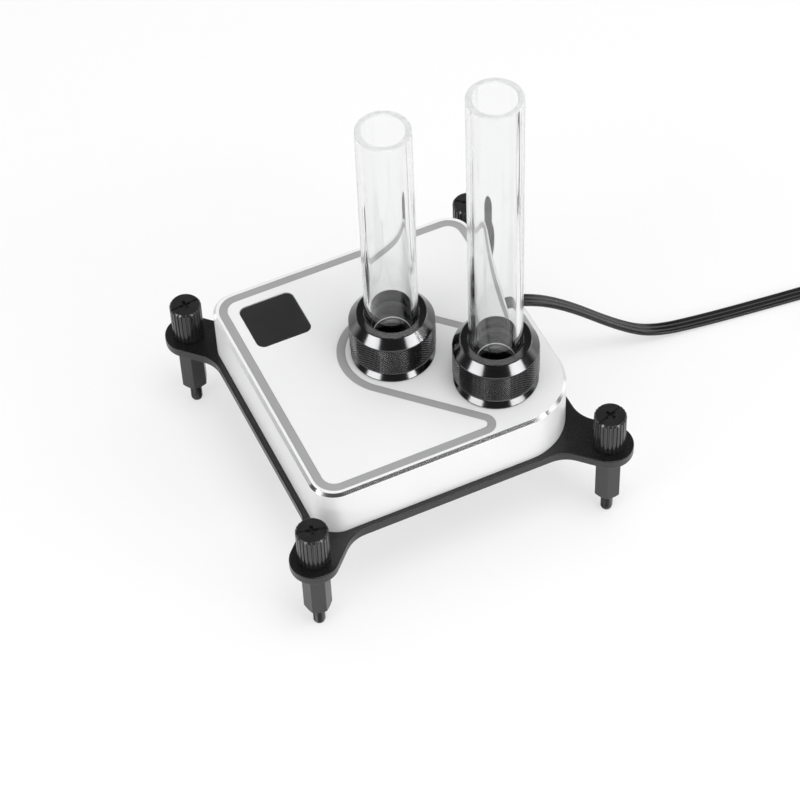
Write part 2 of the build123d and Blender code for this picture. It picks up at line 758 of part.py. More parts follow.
# The two fittings, one for each tube
fitting_places = {"inlet": inlet_place, "outlet": outlet_place}
tube_lengths = {"inlet": inlet_tube_length, "outlet": outlet_tube_length}
for side, place in fitting_places.items():
    section = Plane(origin=(*place, cover_top), x_dir=(1, 0, 0), z_dir=(0, -1, 0))
    turning = Axis((*place, 0), (0, 0, 1))

    # Fitting body: port thread, flange and a barrel that takes the tube
    with BuildPart() as fitting_body:
        with BuildSketch(section):
            with BuildLine():
                Polyline(
                    (duct_radius, -fitting_thread_length),
                    (fitting_thread_radius, -fitting_thread_length),
                    (fitting_thread_radius, 0),
                    (flange_radius, 0),
                    (flange_radius, flange_height - flange_chamfer),
                    (flange_radius - flange_chamfer, flange_height),
                    (barrel_radius, flange_height),
                    (barrel_radius, barrel_top),
                    (barrel_bore, barrel_top),
                    (barrel_bore, tube_seat),
                    (tube_bore_radius, tube_seat),
                    (duct_radius, tube_seat - (tube_bore_radius - duct_radius)),
                    close=True,
                )
            make_face()
            with Locations((face_seal_radius, 0)):
                Rectangle(2 * groove_half, 2 * groove_depth, mode=Mode.SUBTRACT)
            with Locations((barrel_bore, inner_seal_height)):
                Rectangle(2 * groove_depth, 2 * groove_half, mode=Mode.SUBTRACT)
        revolve(axis=turning)
    fitting_body.part.label = f"{side}_fitting_body"
    export_step(fitting_body.part, f"parts/{side}_fitting_body.step")

    # Seals: under the flange, round the tube inside the barrel, and on the barrel's end
    seals = {
        "face_seal": (face_seal_radius, seal_section_radius),
        "inner_seal": (inner_seal_radius, inner_seal_height),
        "outer_seal": (outer_seal_radius, barrel_top + seal_section_radius),
    }
    for seal_name, seal_place in seals.items():
        with BuildPart() as seal:
            with BuildSketch(section):
                with Locations(seal_place):
                    Circle(seal_section_radius)
            revolve(axis=turning)
        seal.part.label = f"{side}_{seal_name}"
        export_step(seal.part, f"parts/{side}_{seal_name}.step")

    # Compression ring: carries the collar's push to the outer seal
    with BuildPart() as compression_ring:
        with BuildSketch(section):
            with Locations(((barrel_bore + ring_radius) / 2, ring_bottom + ring_height / 2)):
                Rectangle(ring_radius - barrel_bore, ring_height)
        revolve(axis=turning)
    compression_ring.part.label = f"{side}_compression_ring"
    export_step(compression_ring.part, f"parts/{side}_compression_ring.step")

    # Collar: a round nut with a wide polished chamfer that closes the barrel
    with BuildPart() as collar:
        with BuildSketch(section):
            with BuildLine():
                Polyline(
                    (collar_bore, flange_height + collar_gap),
                    (collar_radius - collar_foot_chamfer, flange_height + collar_gap),
                    (collar_radius, flange_height + collar_gap + collar_foot_chamfer),
                    (collar_radius, collar_knurl_top),
                    (collar_rim_radius, collar_top),
                    (collar_mouth_radius, collar_top),
                    (collar_mouth_radius, collar_shoulder),
                    (collar_bore, collar_shoulder),
                    close=True,
                )
            make_face()
        revolve(axis=turning)
    collar.part.label = f"{side}_collar"
    export_step(collar.part, f"parts/{side}_collar.step")

    # Tube: clear and straight, standing on the seat inside the fitting
    with BuildPart() as tube:
        with BuildSketch(Plane.XY.offset(cover_top + tube_seat)):
            with Locations(place):
                Circle(tube_radius)
                Circle(tube_bore_radius, mode=Mode.SUBTRACT)
        extrude(amount=tube_lengths[side])
        chamfer(tube.faces().sort_by(Axis.Z)[-1].edges(), tube_edge_chamfer)
    tube.part.label = f"{side}_tube"
    export_step(tube.part, f"parts/{side}_tube.step")

# Lead: a flat ribbon from the header, through the cover's notch and down to the floor.
# Each point is the distance from the header along the lead's heading, and the height.
lead_floor = lead_floor_gap + lead_thickness / 2
lead_points = [
    (0, lead_height),
    (6, 29.4),
    (17, 23.3),
    (33, 8.2),
    (42.5, 2.2),
    (56, 1.0),
    (75, lead_floor),
    (coil_distance - coil_approach, lead_floor),
]
heading = radians(lead_heading)
forward = Vector(cos(heading), sin(heading), 0)
leftward = Vector(-sin(heading), cos(heading), 0)
lead_start_x = header_centre + header_depth / 2 + lead_width / 2 * abs(sin(heading))
lead_start = Vector(lead_start_x, lead_exit_y, 0)


def bend_radii(points):
    """One radius for each corner, as large as its two runs allow."""
    radii = []
    for before, corner, after in zip(points, points[1:], points[2:]):
        run_in = Vector(*corner) - Vector(*before)
        run_out = Vector(*after) - Vector(*corner)
        half_turn = radians(run_in.get_angle(run_out)) / 2
        radii.append(0.45 * min(run_in.length, run_out.length) / tan(half_turn))
    return radii


lead_radii = bend_radii(lead_points)
print("lead bend radii", [round(radius, 1) for radius in lead_radii])
lead_plane = Plane(origin=lead_start, x_dir=forward, z_dir=-leftward)
with BuildPart() as led_lead:
    with BuildLine(lead_plane) as lead_path:
        FilletPolyline(*lead_points, radius=lead_radii)
    lead_run = lead_path.wires()[0]
    with BuildSketch(Plane(origin=lead_run @ 0, x_dir=leftward, z_dir=lead_run % 0)):
        SlotOverall(lead_width, lead_thickness)
    sweep(path=lead_run)
led_lead.part.label = "led_lead"
export_step(led_lead.part, "parts/led_lead.step")
lead_section = (lead_width - lead_thickness) * lead_thickness + pi * (lead_thickness / 2) ** 2
print("lead length", round(lead_run.length, 1))
print("lead volume over section and length", led_lead.part.volume / lead_section / lead_run.length)

# Coil: the put-away length, wound on edge in a neat ring, with a tail that turns in to the plug
coil_outer_turn = coil_mean_radius + coil_turns * coil_pitch / 2
coil_inner_turn = coil_mean_radius - coil_turns * coil_pitch / 2
coil_outside = coil_outer_turn + coil_pitch / 2
coil_inside = coil_inner_turn - coil_pitch / 2
coil_centre = lead_start + forward * coil_distance - leftward * coil_outer_turn
coil_plane = Plane(origin=coil_centre + Vector(0, 0, coil_lift), x_dir=forward, z_dir=(0, 0, 1))
tail_centre = coil_inner_turn - tail_radius
with BuildPart() as led_lead_coil:
    with BuildSketch(coil_plane):
        Circle(coil_outside)
        Circle(coil_inside, mode=Mode.SUBTRACT)
        with Locations((-coil_approach / 2, coil_outer_turn)):
            Rectangle(coil_approach, lead_thickness)
        with BuildLine():
            tail_sides = [
                CenterArc((0, tail_centre), tail_radius + offset, 90 - tail_turn, tail_turn)
                for offset in (-lead_thickness / 2, lead_thickness / 2)
            ]
            Line(tail_sides[0] @ 0, tail_sides[1] @ 0)
            Line(tail_sides[0] @ 1, tail_sides[1] @ 1)
        make_face()
    extrude(amount=lead_width)
led_lead_coil.part.label = "led_lead_coil"
export_step(led_lead_coil.part, "parts/led_lead_coil.step")
coil_length = coil_turns * 2 * pi * coil_mean_radius
tail_length = radians(tail_turn) * tail_radius
print("whole lead", round(lead_run.length + coil_approach + coil_length + tail_length, 1))

# Tie: a small strap round the coil's turns, on the side away from the block
tie_hole_width = coil_outside - coil_inside + 2 * tie_gap
tie_hole_height = lead_width + 2 * tie_gap
tie_middle = coil_centre - leftward * coil_mean_radius + Vector(0, 0, coil_lift + lead_width / 2)
tie_plane = Plane(origin=tie_middle, x_dir=leftward, z_dir=forward)
with BuildPart() as lead_tie:
    with BuildSketch(tie_plane):
        RectangleRounded(
            tie_hole_width + 2 * tie_thickness, tie_hole_height + 2 * tie_thickness, tie_thickness
        )
        Rectangle(tie_hole_width, tie_hole_height, mode=Mode.SUBTRACT)
    extrude(amount=tie_length / 2, both=True)
lead_tie.part.label = "lead_tie"
export_step(lead_tie.part, "parts/lead_tie.step")

# Plug: a three-way connector at the tail's end, inside the coil
tail_heading = radians(-tail_turn)
tail_reach = Vector(-sin(tail_heading), cos(tail_heading), 0) * tail_radius
plug_start = coil_plane.from_local_coords(Vector(0, tail_centre, 0) + tail_reach)
plug_plane = Plane(
    origin=(plug_start.X, plug_start.Y, lead_floor_gap),
    x_dir=forward.rotate(Axis.Z, -tail_turn),
    z_dir=(0, 0, 1),
)
plug_middle = plug_plane.offset(connector_height / 2)
with BuildPart() as lead_connector:
    with BuildSketch(plug_plane):
        with Locations(((connector_neck_length + connector_length) / 2, 0)):
            Rectangle(connector_length - connector_neck_length, connector_width)
    extrude(amount=connector_height)
    chamfer(lead_connector.edges().filter_by(Axis.Z), connector_edge_chamfer)
    with BuildSketch(Plane(origin=plug_middle.origin, x_dir=plug_middle.y_dir, z_dir=plug_middle.x_dir)):
        Rectangle(connector_width - 2 * connector_neck_inset, connector_height - 2 * connector_neck_inset)
    extrude(amount=connector_neck_length)
    plug_face = lead_connector.faces().sort_by(Axis(plug_middle.origin, plug_middle.x_dir))[-1]
    with BuildSketch(Plane(origin=plug_face.center(), x_dir=plug_middle.y_dir, z_dir=plug_middle.x_dir)):
        with GridLocations(connector_pin_pitch, 0, connector_pin_count, 1):
            Rectangle(connector_pin_width, connector_pin_width)
    extrude(amount=-connector_pin_depth, mode=Mode.SUBTRACT)
lead_connector.part.label = "lead_connector"
export_step(lead_connector.part, "parts/lead_connector.step")
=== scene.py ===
"""Square liquid cooling block with two clear tubes, dressed over its CAD frame.

The script is laid out as an add-on and run once: it models the showing pieces over the
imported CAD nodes, gives every node a finish, and sets the camera and the lamps.
"""

import math

import bpy
from mathutils import Matrix, Vector


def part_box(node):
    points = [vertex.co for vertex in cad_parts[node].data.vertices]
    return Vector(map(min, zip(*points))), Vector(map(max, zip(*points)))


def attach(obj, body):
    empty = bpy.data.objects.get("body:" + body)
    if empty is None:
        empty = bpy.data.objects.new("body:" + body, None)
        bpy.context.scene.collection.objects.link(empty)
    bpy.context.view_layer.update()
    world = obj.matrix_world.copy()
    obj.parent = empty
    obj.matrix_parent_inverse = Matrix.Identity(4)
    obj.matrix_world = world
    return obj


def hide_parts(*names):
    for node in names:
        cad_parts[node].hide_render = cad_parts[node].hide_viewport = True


bl_info = {
    "name": "Liquid cooling block",
    "version": (1, 0, 0),
    "blender": (4, 5, 0),
    "location": "View3D > Sidebar > Cooling Block",
    "description": "Models and finishes a square liquid cooling block over its CAD frame",
    "category": "Object",
}

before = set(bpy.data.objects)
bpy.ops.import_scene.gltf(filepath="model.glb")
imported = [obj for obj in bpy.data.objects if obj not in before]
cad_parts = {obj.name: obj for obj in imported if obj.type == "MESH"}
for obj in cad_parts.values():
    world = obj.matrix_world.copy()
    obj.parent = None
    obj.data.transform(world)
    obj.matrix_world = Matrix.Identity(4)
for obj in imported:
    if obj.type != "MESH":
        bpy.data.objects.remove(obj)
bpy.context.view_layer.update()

MM = 0.001
TURN = 2 * math.pi
COVER_LOW, COVER_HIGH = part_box("cover")
COVER_TOP = COVER_HIGH[2]
COVER_BASE = COVER_LOW[2]
BRACKET_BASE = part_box("bracket")[0][2]
ROOF = 2.5 * MM
BADGE_SPOT = COVER_HIGH[0] - 13.2 * MM
PORT_OFFSET = 18.5998 * MM
SCREW_REACH = COVER_HIGH[0] + 4.0 * MM
FITTING_PLACES = {"inlet": (0.0, 0.0), "outlet": (PORT_OFFSET, -PORT_OFFSET)}
SCREW_PLACES = {
    "front": (-SCREW_REACH, -SCREW_REACH),
    "right": (SCREW_REACH, -SCREW_REACH),
    "back": (SCREW_REACH, SCREW_REACH),
    "left": (-SCREW_REACH, SCREW_REACH),
}
COVER_SCREW_PLACES = [
    (-30.55 * MM, -30.55 * MM),
    (-30.55 * MM, 30.55 * MM),
    (30.55 * MM, 30.55 * MM),
    (28.06 * MM, -28.06 * MM),
]


# ---------------------------------------------------------------- sizes and colours


class CoolingBlockSizes(bpy.types.PropertyGroup):
    """Sizes of the modelled pieces"""

    corner: bpy.props.FloatProperty(
        name="Cover corner", description="Radius of the cover's three like corners", default=0.0065, unit="LENGTH"
    )
    outlet_corner: bpy.props.FloatProperty(
        name="Outlet corner", description="Radius of the cover's corner beside the outlet", default=0.015, unit="LENGTH"
    )
    cover_edge: bpy.props.FloatProperty(
        name="Cover edge", description="Width of the polished chamfer round the cover's top",
        default=0.0007, unit="LENGTH",
    )
    cover_wall: bpy.props.FloatProperty(
        name="Cover wall", description="Thickness of the cover's side walls", default=0.0014, unit="LENGTH"
    )
    stripe_width: bpy.props.FloatProperty(
        name="Stripe width", description="Width of the grey light guide", default=0.002, unit="LENGTH"
    )
    stripe_side: bpy.props.FloatProperty(
        name="Stripe reach", description="How far the stripe's middle line runs from the centre",
        default=0.03255, unit="LENGTH",
    )
    stripe_band: bpy.props.FloatProperty(
        name="Stripe arc", description="Radius of the stripe's middle line round the inlet",
        default=0.0127, unit="LENGTH",
    )
    badge_width: bpy.props.FloatProperty(
        name="Badge width", description="Side of the bare badge plate", default=0.0142, unit="LENGTH"
    )
    bracket_side: bpy.props.FloatProperty(
        name="Bracket side", description="Half the width of the bracket between its ears", default=0.0365, unit="LENGTH"
    )
    ear_radius: bpy.props.FloatProperty(
        name="Ear radius", description="Radius of the bracket's four ears", default=0.006, unit="LENGTH"
    )
    head_radius: bpy.props.FloatProperty(
        name="Screw head", description="Radius of a thumb screw's head", default=0.00395, unit="LENGTH"
    )
    flute_count: bpy.props.IntProperty(
        name="Flutes", description="Flutes round a thumb screw's head", default=24, min=8
    )
    flute_depth: bpy.props.FloatProperty(
        name="Flute depth", description="How far a flute is cut into the head", default=0.00025, unit="LENGTH"
    )
    standoff_flats: bpy.props.FloatProperty(
        name="Standoff flats", description="Width of a standoff across its flats", default=0.006, unit="LENGTH"
    )
    collar_radius: bpy.props.FloatProperty(
        name="Collar radius", description="Outside radius of a fitting's collar", default=0.0105, unit="LENGTH"
    )
    knurl_count: bpy.props.IntProperty(
        name="Knurl points", description="Raised points in one row round a collar", default=94, min=24
    )
    knurl_depth: bpy.props.FloatProperty(
        name="Knurl depth", description="Height of the knurl's points", default=0.00027, unit="LENGTH"
    )
    tube_radius: bpy.props.FloatProperty(
        name="Tube radius", description="Outside radius of the clear tube", default=0.0065, unit="LENGTH"
    )
    tube_bore: bpy.props.FloatProperty(
        name="Tube bore", description="Inside radius of the clear tube", default=0.005, unit="LENGTH"
    )
    lead_width: bpy.props.FloatProperty(
        name="Ribbon width", description="Width of the flat three-core lead", default=0.0039, unit="LENGTH"
    )


class CoolingBlockColours(bpy.types.PropertyGroup):
    """Colours of the finishes"""

    cover: bpy.props.FloatVectorProperty(
        name="Cover", description="White coat of the cover", default=(0.86, 0.86, 0.865), subtype="COLOR"
    )
    stripe: bpy.props.FloatVectorProperty(
        name="Stripe", description="Grey of the unlit light guide", default=(0.36, 0.36, 0.36), subtype="COLOR"
    )
    badge: bpy.props.FloatVectorProperty(
        name="Badge", description="Black of the badge plate", default=(0.028, 0.028, 0.029), subtype="COLOR"
    )
    bracket: bpy.props.FloatVectorProperty(
        name="Bracket", description="Black coat of the bracket", default=(0.009, 0.009, 0.0093), subtype="COLOR"
    )
    plating: bpy.props.FloatVectorProperty(
        name="Fittings", description="Black plating of the fittings", default=(0.125, 0.125, 0.127), subtype="COLOR"
    )
    screws: bpy.props.FloatVectorProperty(
        name="Screws", description="Black coat of the screws and standoffs",
        default=(0.017, 0.017, 0.0175), subtype="COLOR",
    )
    lead: bpy.props.FloatVectorProperty(
        name="Lead", description="Black jacket of the lead", default=(0.009, 0.009, 0.0093), subtype="COLOR"
    )


class CoolingBlockStage(bpy.types.PropertyGroup):
    """Light of the stage"""

    box_power: bpy.props.FloatProperty(
        name="Soft boxes", description="Power of each of the two side soft boxes", default=2.05, unit="POWER"
    )
    top_power: bpy.props.FloatProperty(
        name="Top light", description="Power of the wide light over the block", default=4.4, unit="POWER"
    )
    side_power: bpy.props.FloatProperty(
        name="Side light", description="Power of the soft light on the lead's side", default=1.0, unit="POWER"
    )
    sky: bpy.props.FloatProperty(
        name="Room light", description="Strength of the room's even light", default=0.6, min=0.0
    )


# ---------------------------------------------------------------- finishes


def add_node(tree, kind, inputs=None, **settings):
    """A shader node with its settings and the values of its free inputs."""
    made = tree.nodes.new(kind)
    for name, value in settings.items():
        setattr(made, name, value)
    for socket, value in (inputs or {}).items():
        made.inputs[socket].default_value = value
    return made


def wire(tree, *links):
    """Links, each given as a node, its output, the next node and that node's input."""
    for source, output, target, socket in links:
        tree.links.new(source.outputs[output], target.inputs[socket])


def node_material(name):
    """A new material, its node tree and its main shader."""
    made = bpy.data.materials.new(name)
    made.use_nodes = True
    return made, made.node_tree, made.node_tree.nodes["Principled BSDF"]


def finish(
    name, colour, roughness, metallic=0.0, drift=0.05, mottle=120.0, grain=2400.0, rough_spread=0.05,
    bump=0.15, height=0.00002, stretch=(1.0, 1.0, 1.0), **sockets
):
    """A surface whose colour drifts a little, with fine grain in its roughness and its relief."""
    made, tree, shader = node_material(name)
    where = add_node(tree, "ShaderNodeTexCoord")
    mapping = add_node(tree, "ShaderNodeMapping", {"Scale": stretch})
    clouds = add_node(tree, "ShaderNodeTexNoise", {"Scale": mottle, "Detail": 3.0})
    specks = add_node(tree, "ShaderNodeTexNoise", {"Scale": grain, "Detail": 4.0})
    ramp = add_node(tree, "ShaderNodeValToRGB")
    for stop, position, factor in zip(ramp.color_ramp.elements, (0.35, 0.65), (1 - drift, 1 + drift)):
        stop.position = position
        stop.color = (*[min(1.0, c * factor) for c in colour], 1)
    rough_range = {"To Min": max(0.0, roughness - rough_spread), "To Max": min(1.0, roughness + rough_spread)}
    rough = add_node(tree, "ShaderNodeMapRange", rough_range)
    relief = add_node(tree, "ShaderNodeBump", {"Strength": bump, "Distance": height})
    wire(
        tree,
        (where, "Object", mapping, "Vector"),
        (mapping, "Vector", clouds, "Vector"),
        (mapping, "Vector", specks, "Vector"),
        (clouds, "Fac", ramp, "Fac"),
        (ramp, "Color", shader, "Base Color"),
        (specks, "Fac", rough, "Value"),
        (rough, "Result", shader, "Roughness"),
        (specks, "Fac", relief, "Height"),
        (relief, "Normal", shader, "Normal"),
    )
    shader.inputs["Metallic"].default_value = metallic
    for socket, value in sockets.items():
        shader.inputs[socket.replace("_", " ")].default_value = value
    return made


def clear_tube_finish():
    """Clear acrylic with faint drawing lines, which lets light through to the cover below."""
    made = finish(
        "clear_acrylic", (0.95, 0.953, 0.953), 0.02, drift=0.004, mottle=60.0, grain=500.0, rough_spread=0.01,
        bump=0.03, height=0.00001, stretch=(1.0, 1.0, 0.04), Transmission_Weight=1.0, IOR=1.49,
    )
    tree = made.node_tree
    rays = add_node(tree, "ShaderNodeLightPath")
    through = add_node(tree, "ShaderNodeBsdfTransparent", {"Color": (0.94, 0.945, 0.945, 1)})
    mix = add_node(tree, "ShaderNodeMixShader")
    wire(
        tree,
        (rays, "Is Shadow Ray", mix, "Fac"),
        (tree.nodes["Principled BSDF"], "BSDF", mix, 1),
        (through, "BSDF", mix, 2),
        (mix, "Shader", tree.nodes["Material Output"], "Surface"),
    )
    return made


def knurl_finish(colour):
    """Black plating with a painted sheen on the knurl's points and painted shade darkening its grooves."""
    # The base colour is raised to 2.2 times the plating's, a painted sheen on the knurl's points.
    made = finish(
        "knurl_black_plating", [2.2 * c for c in colour], 0.2, metallic=1.0, drift=0.10, mottle=300, grain=6000,
        rough_spread=0.05, bump=0.04,
    )
    tree = made.node_tree
    shader = tree.nodes["Principled BSDF"]
    plain = shader.inputs["Base Color"].links[0].from_node
    # Painted shade: the knurl's height scales the colour down to 0.08 of it in the grooves.
    height = add_node(tree, "ShaderNodeAttribute", attribute_name="knurl_height")
    groove_shade = add_node(
        tree, "ShaderNodeMapRange", {"From Min": 0.1, "From Max": 0.8, "To Min": 0.08, "To Max": 1.0},
        interpolation_type="SMOOTHSTEP",
    )
    shade = add_node(tree, "ShaderNodeVectorMath", operation="SCALE")
    wire(
        tree,
        (height, "Fac", groove_shade, "Value"),
        (plain, "Color", shade, "Vector"),
        (groove_shade, "Result", shade, "Scale"),
        (shade, "Vector", shader, "Base Color"),
    )
    return made


def make_finishes(colours):
    """All the finishes, by the name of what they cover."""
    coat = {"Coat_Weight": 0.25, "Coat_Roughness": 0.12}
    gloss = {"Coat_Weight": 0.5, "Coat_Roughness": 0.06}
    metal = {"metallic": 1.0}
    polished = {"metallic": 1.0, "rough_spread": 0.03}
    spacer = {"stretch": (1, 1, 0.2), "Specular_IOR_Level": 0.65}
    # The sawn tube ends glow faintly through their emission, painted light on a part that is no lamp.
    sawn_with_glow = {"Transmission_Weight": 0.35, "IOR": 1.49, "Emission_Color": (1, 1, 1, 1), "Emission_Strength": 0.16}
    # material, colour, roughness, drift, mottle, grain, bump, other settings
    table = {
        "white_coat": ("white_coat", colours.cover, 0.36, 0.012, 40, 3500, 0.10, coat),
        "cut_edge": ("polished_edge", (0.8, 0.8, 0.81), 0.15, 0.04, 300, 6000, 0.02, polished),
        "light_guide": ("light_guide_grey", colours.stripe, 0.38, 0.03, 90, 3000, 0.06, {}),
        "badge": ("badge_black", colours.badge, 0.16, 0.10, 60, 4000, 0.03, gloss),
        "bracket": ("bracket_black_coat", colours.bracket, 0.26, 0.15, 150, 2600, 0.08, {"Specular_IOR_Level": 0.65}),
        "plating": ("fitting_black_plating", colours.plating, 0.15, 0.08, 90, 5000, 0.02, polished),
        "screws": ("screw_black_coat", colours.screws, 0.2, 0.15, 300, 4500, 0.06, {"Specular_IOR_Level": 0.75}),
        "standoffs": ("standoff_black_coat", colours.screws, 0.22, 0.15, 200, 3500, 0.08, spacer),
        "stud": ("stud_dark_steel", (0.22, 0.22, 0.222), 0.3, 0.12, 400, 4000, 0.06, metal),
        "tube_end": ("glowing_sawn_tube_end", (0.80, 0.81, 0.81), 0.5, 0.10, 900, 5000, 0.3, sawn_with_glow),
        "acetal": ("chamber_acetal", (0.018, 0.018, 0.019), 0.5, 0.12, 100, 1800, 0.25, {"height": 0.00003}),
        "rubber": ("seal_rubber", (0.016, 0.016, 0.016), 0.62, 0.15, 400, 3000, 0.30, {}),
        "ring": ("ring_acetal", (0.045, 0.045, 0.048), 0.4, 0.10, 300, 3000, 0.10, {}),
        "nickel": (
            "cold_plate_nickel", (0.66, 0.65, 0.63), 0.22, 0.05, 80, 1500, 0.10,
            {"metallic": 1.0, "stretch": (0.12, 4.0, 1.0)},
        ),
        "steel": ("bright_steel", (0.56, 0.56, 0.57), 0.26, 0.08, 250, 3500, 0.08, metal),
        "spring": ("spring_wire", (0.6, 0.6, 0.6), 0.22, 0.10, 500, 4000, 0.06, metal),
        "board": ("board_mask", (0.012, 0.016, 0.013), 0.34, 0.20, 500, 3000, 0.10, {}),
        "lens": ("light_lens", (0.82, 0.82, 0.78), 0.2, 0.06, 900, 4000, 0.05, {"Coat_Weight": 0.4}),
        "nylon": ("header_nylon", (0.76, 0.74, 0.68), 0.48, 0.05, 300, 2600, 0.15, {}),
        "jacket": ("lead_jacket", colours.lead, 0.22, 0.20, 250, 2200, 0.12, {"rough_spread": 0.06}),
        "tie": ("tie_nylon", (0.016, 0.016, 0.017), 0.44, 0.15, 300, 2500, 0.15, {}),
        "plug": ("plug_nylon", (0.018, 0.018, 0.02), 0.4, 0.12, 250, 2400, 0.20, {}),
    }
    made = {"knurl": knurl_finish(colours.plating), "acrylic": clear_tube_finish()}
    for cover, (name, colour, roughness, drift, mottle, grain, bump, more) in table.items():
        made[cover] = finish(name, colour, roughness, drift=drift, mottle=mottle, grain=grain, bump=bump, **more)
    return made


FINISHES = {}


def dress(piece, *names):
    """The piece gets these finishes, in the order of its material slots."""
    piece.data.materials.clear()
    for name in names:
        piece.data.materials.append(FINISHES[name])


def dress_node(node, name):
    """A CAD node that stays gets a finish in each of its slots."""
    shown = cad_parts[node]
    for holder in shown.material_slots:
        holder.material = FINISHES[name]


# ---------------------------------------------------------------- modelling by hand


def clear_selection():
    """Object mode, with nothing selected."""
    if bpy.context.mode != "OBJECT":
        bpy.ops.object.mode_set(mode="OBJECT")
    bpy.ops.object.select_all(action="DESELECT")


def take(piece):
    """Only this piece is selected, and it is the active one."""
    clear_selection()
    piece.select_set(True)
    bpy.context.view_layer.objects.active = piece


def settle(piece):
    """The piece's place goes into its mesh, so its object stands at the origin."""
    take(piece)
    bpy.ops.object.transform_apply(location=True, rotation=True, scale=True)
    return piece


def pick(piece, kind, test):
    """Edit mode, with only those vertices, edges or faces selected that pass the test."""
    take(piece)
    bpy.ops.object.mode_set(mode="EDIT")
    bpy.ops.mesh.select_mode(type=kind)
    bpy.ops.mesh.select_all(action="DESELECT")
    bpy.ops.object.mode_set(mode="OBJECT")
    mesh = piece.data
    if kind == "VERT":
        for corner in mesh.vertices:
            corner.select = test(corner.co)
    elif kind == "EDGE":
        for edge in mesh.edges:
            edge.select = test(mesh.vertices[edge.vertices[0]].co, mesh.vertices[edge.vertices[1]].co)
    else:
        for face in mesh.polygons:
            face.select = test(face)
    bpy.ops.object.mode_set(mode="EDIT")


def bevel_edges(piece, test, **settings):
    """The edges that pass the test are bevelled."""
    pick(piece, "EDGE", test)
    bpy.ops.mesh.bevel(affect="EDGES", **settings)
    bpy.ops.object.mode_set(mode="OBJECT")


def named(piece, name):
    """The piece and its data take this name."""
    piece.name = name
    piece.data.name = name
    return piece


def new_object(name, data):
    """A new object in the scene."""
    made = bpy.data.objects.new(name, data)
    bpy.context.scene.collection.objects.link(made)
    return made


def closed_line(curve, points):
    """A closed line with straight sides, in a flat curve."""
    line = curve.splines.new("POLY")
    line.points.add(len(points) - 1)
    for point, (x, y) in zip(line.points, points):
        point.co = (x, y, 0, 1)
    line.use_cyclic_u = True


def use_modifier(piece, kind, **settings):
    """A modifier, set and applied."""
    take(piece)
    added = piece.modifiers.new(kind.lower(), kind)
    for name, value in settings.items():
        setattr(added, name, value)
    bpy.ops.object.modifier_apply(modifier=added.name)


def mend(piece):
    """Doubles are merged and the faces made to point outwards."""
    take(piece)
    bpy.ops.object.mode_set(mode="EDIT")
    bpy.ops.mesh.select_all(action="SELECT")
    bpy.ops.mesh.remove_doubles(threshold=0.000001)
    bpy.ops.mesh.normals_make_consistent(inside=False)
    bpy.ops.object.mode_set(mode="OBJECT")
    return piece


def cut(piece, *cutters, operation="DIFFERENCE"):
    """The cutters are taken from the piece, or joined or met with it, and are gone."""
    for cutter in cutters:
        mend(cutter)
        use_modifier(piece, "BOOLEAN", operation=operation, solver="EXACT", object=cutter)
        bpy.data.objects.remove(cutter)
    return piece


def join(name, pieces):
    """Several meshes become one piece."""
    clear_selection()
    for piece in pieces:
        piece.select_set(True)
    bpy.context.view_layer.objects.active = pieces[0]
    if len(pieces) > 1:
        bpy.ops.object.join()
    return named(pieces[0], name)


def smooth(piece, angle=32.0, edge=0.0, segments=2):
    """Sharp edges are eased, and the rest shaded smooth."""
    if edge:
        use_modifier(
            piece, "BEVEL", width=edge, segments=segments, limit_method="ANGLE", angle_limit=math.radians(angle),
            use_clamp_overlap=True, harden_normals=False,
        )
    take(piece)
    bpy.ops.object.shade_smooth_by_angle(angle=math.radians(angle))
    use_modifier(piece, "WEIGHTED_NORMAL", keep_sharp=True, weight=60)
    return piece


def paint_faces(piece, slot_index, test):
    """The faces that pass the test take another of the piece's finishes."""
    pick(piece, "FACE", test)
    piece.active_material_index = slot_index
    bpy.ops.object.material_slot_assign()
    bpy.ops.object.mode_set(mode="OBJECT")


def ring_along(place, profile, start):
    """Extrudes and scales the selected circle through the points of a turned profile."""
    x, y = place
    radius, height = start
    for next_radius, next_height in profile:
        bpy.ops.mesh.extrude_region_move(TRANSFORM_OT_translate={"value": (0, 0, next_height - height)})
        wider = next_radius / radius
        bpy.ops.transform.resize(value=(wider, wider, 1), center_override=(x, y, next_height))
        radius, height = next_radius, next_height


def turned(name, place, profile, steps=128, solid=False):
    """A turned piece: radius and height, point by point, closed into a ring or capped at both ends."""
    x, y = place
    radius, height = profile[0]
    clear_selection()
    bpy.ops.mesh.primitive_circle_add(
        vertices=steps, radius=radius, location=(x, y, height), fill_type="NGON" if solid else "NOTHING"
    )
    piece = named(bpy.context.object, name)
    bpy.ops.object.mode_set(mode="EDIT")
    bpy.ops.mesh.select_mode(type="VERT")
    bpy.ops.mesh.select_all(action="SELECT")
    ring_along(place, profile[1:] if solid else profile[1:] + profile[:1], profile[0])
    bpy.ops.object.mode_set(mode="OBJECT")
    mend(piece)
    return settle(piece)


def rod(name, place, radius, low, high, steps):
    """A plain round rod."""
    return turned(name, place, [(radius, low), (radius, high)], steps=steps, solid=True)


def block(name, low, high):
    """A plain block between two corners, to be shaped further."""
    clear_selection()
    middle = [(a + b) / 2 for a, b in zip(low, high)]
    bpy.ops.mesh.primitive_cube_add(size=1, location=middle)
    piece = named(bpy.context.object, name)
    piece.scale = [b - a for a, b in zip(low, high)]
    return settle(piece)


def rounded_block(name, half, corner, outlet_corner, low, high):
    """A square block whose corner beside the outlet is rounder than the other three."""
    piece = block(name, (-half, -half, low), (half, half, high))

    def upright(a, b):
        return abs(a.x - b.x) < 1e-6 and abs(a.y - b.y) < 1e-6

    def by_outlet(a, b):
        return upright(a, b) and abs(a.x - half) < 1e-6 and abs(a.y + half) < 1e-6

    bevel_edges(piece, lambda a, b: upright(a, b) and not (a.x > 0 > a.y), offset=corner, segments=20)
    bevel_edges(piece, by_outlet, offset=outlet_corner, segments=36)
    return piece


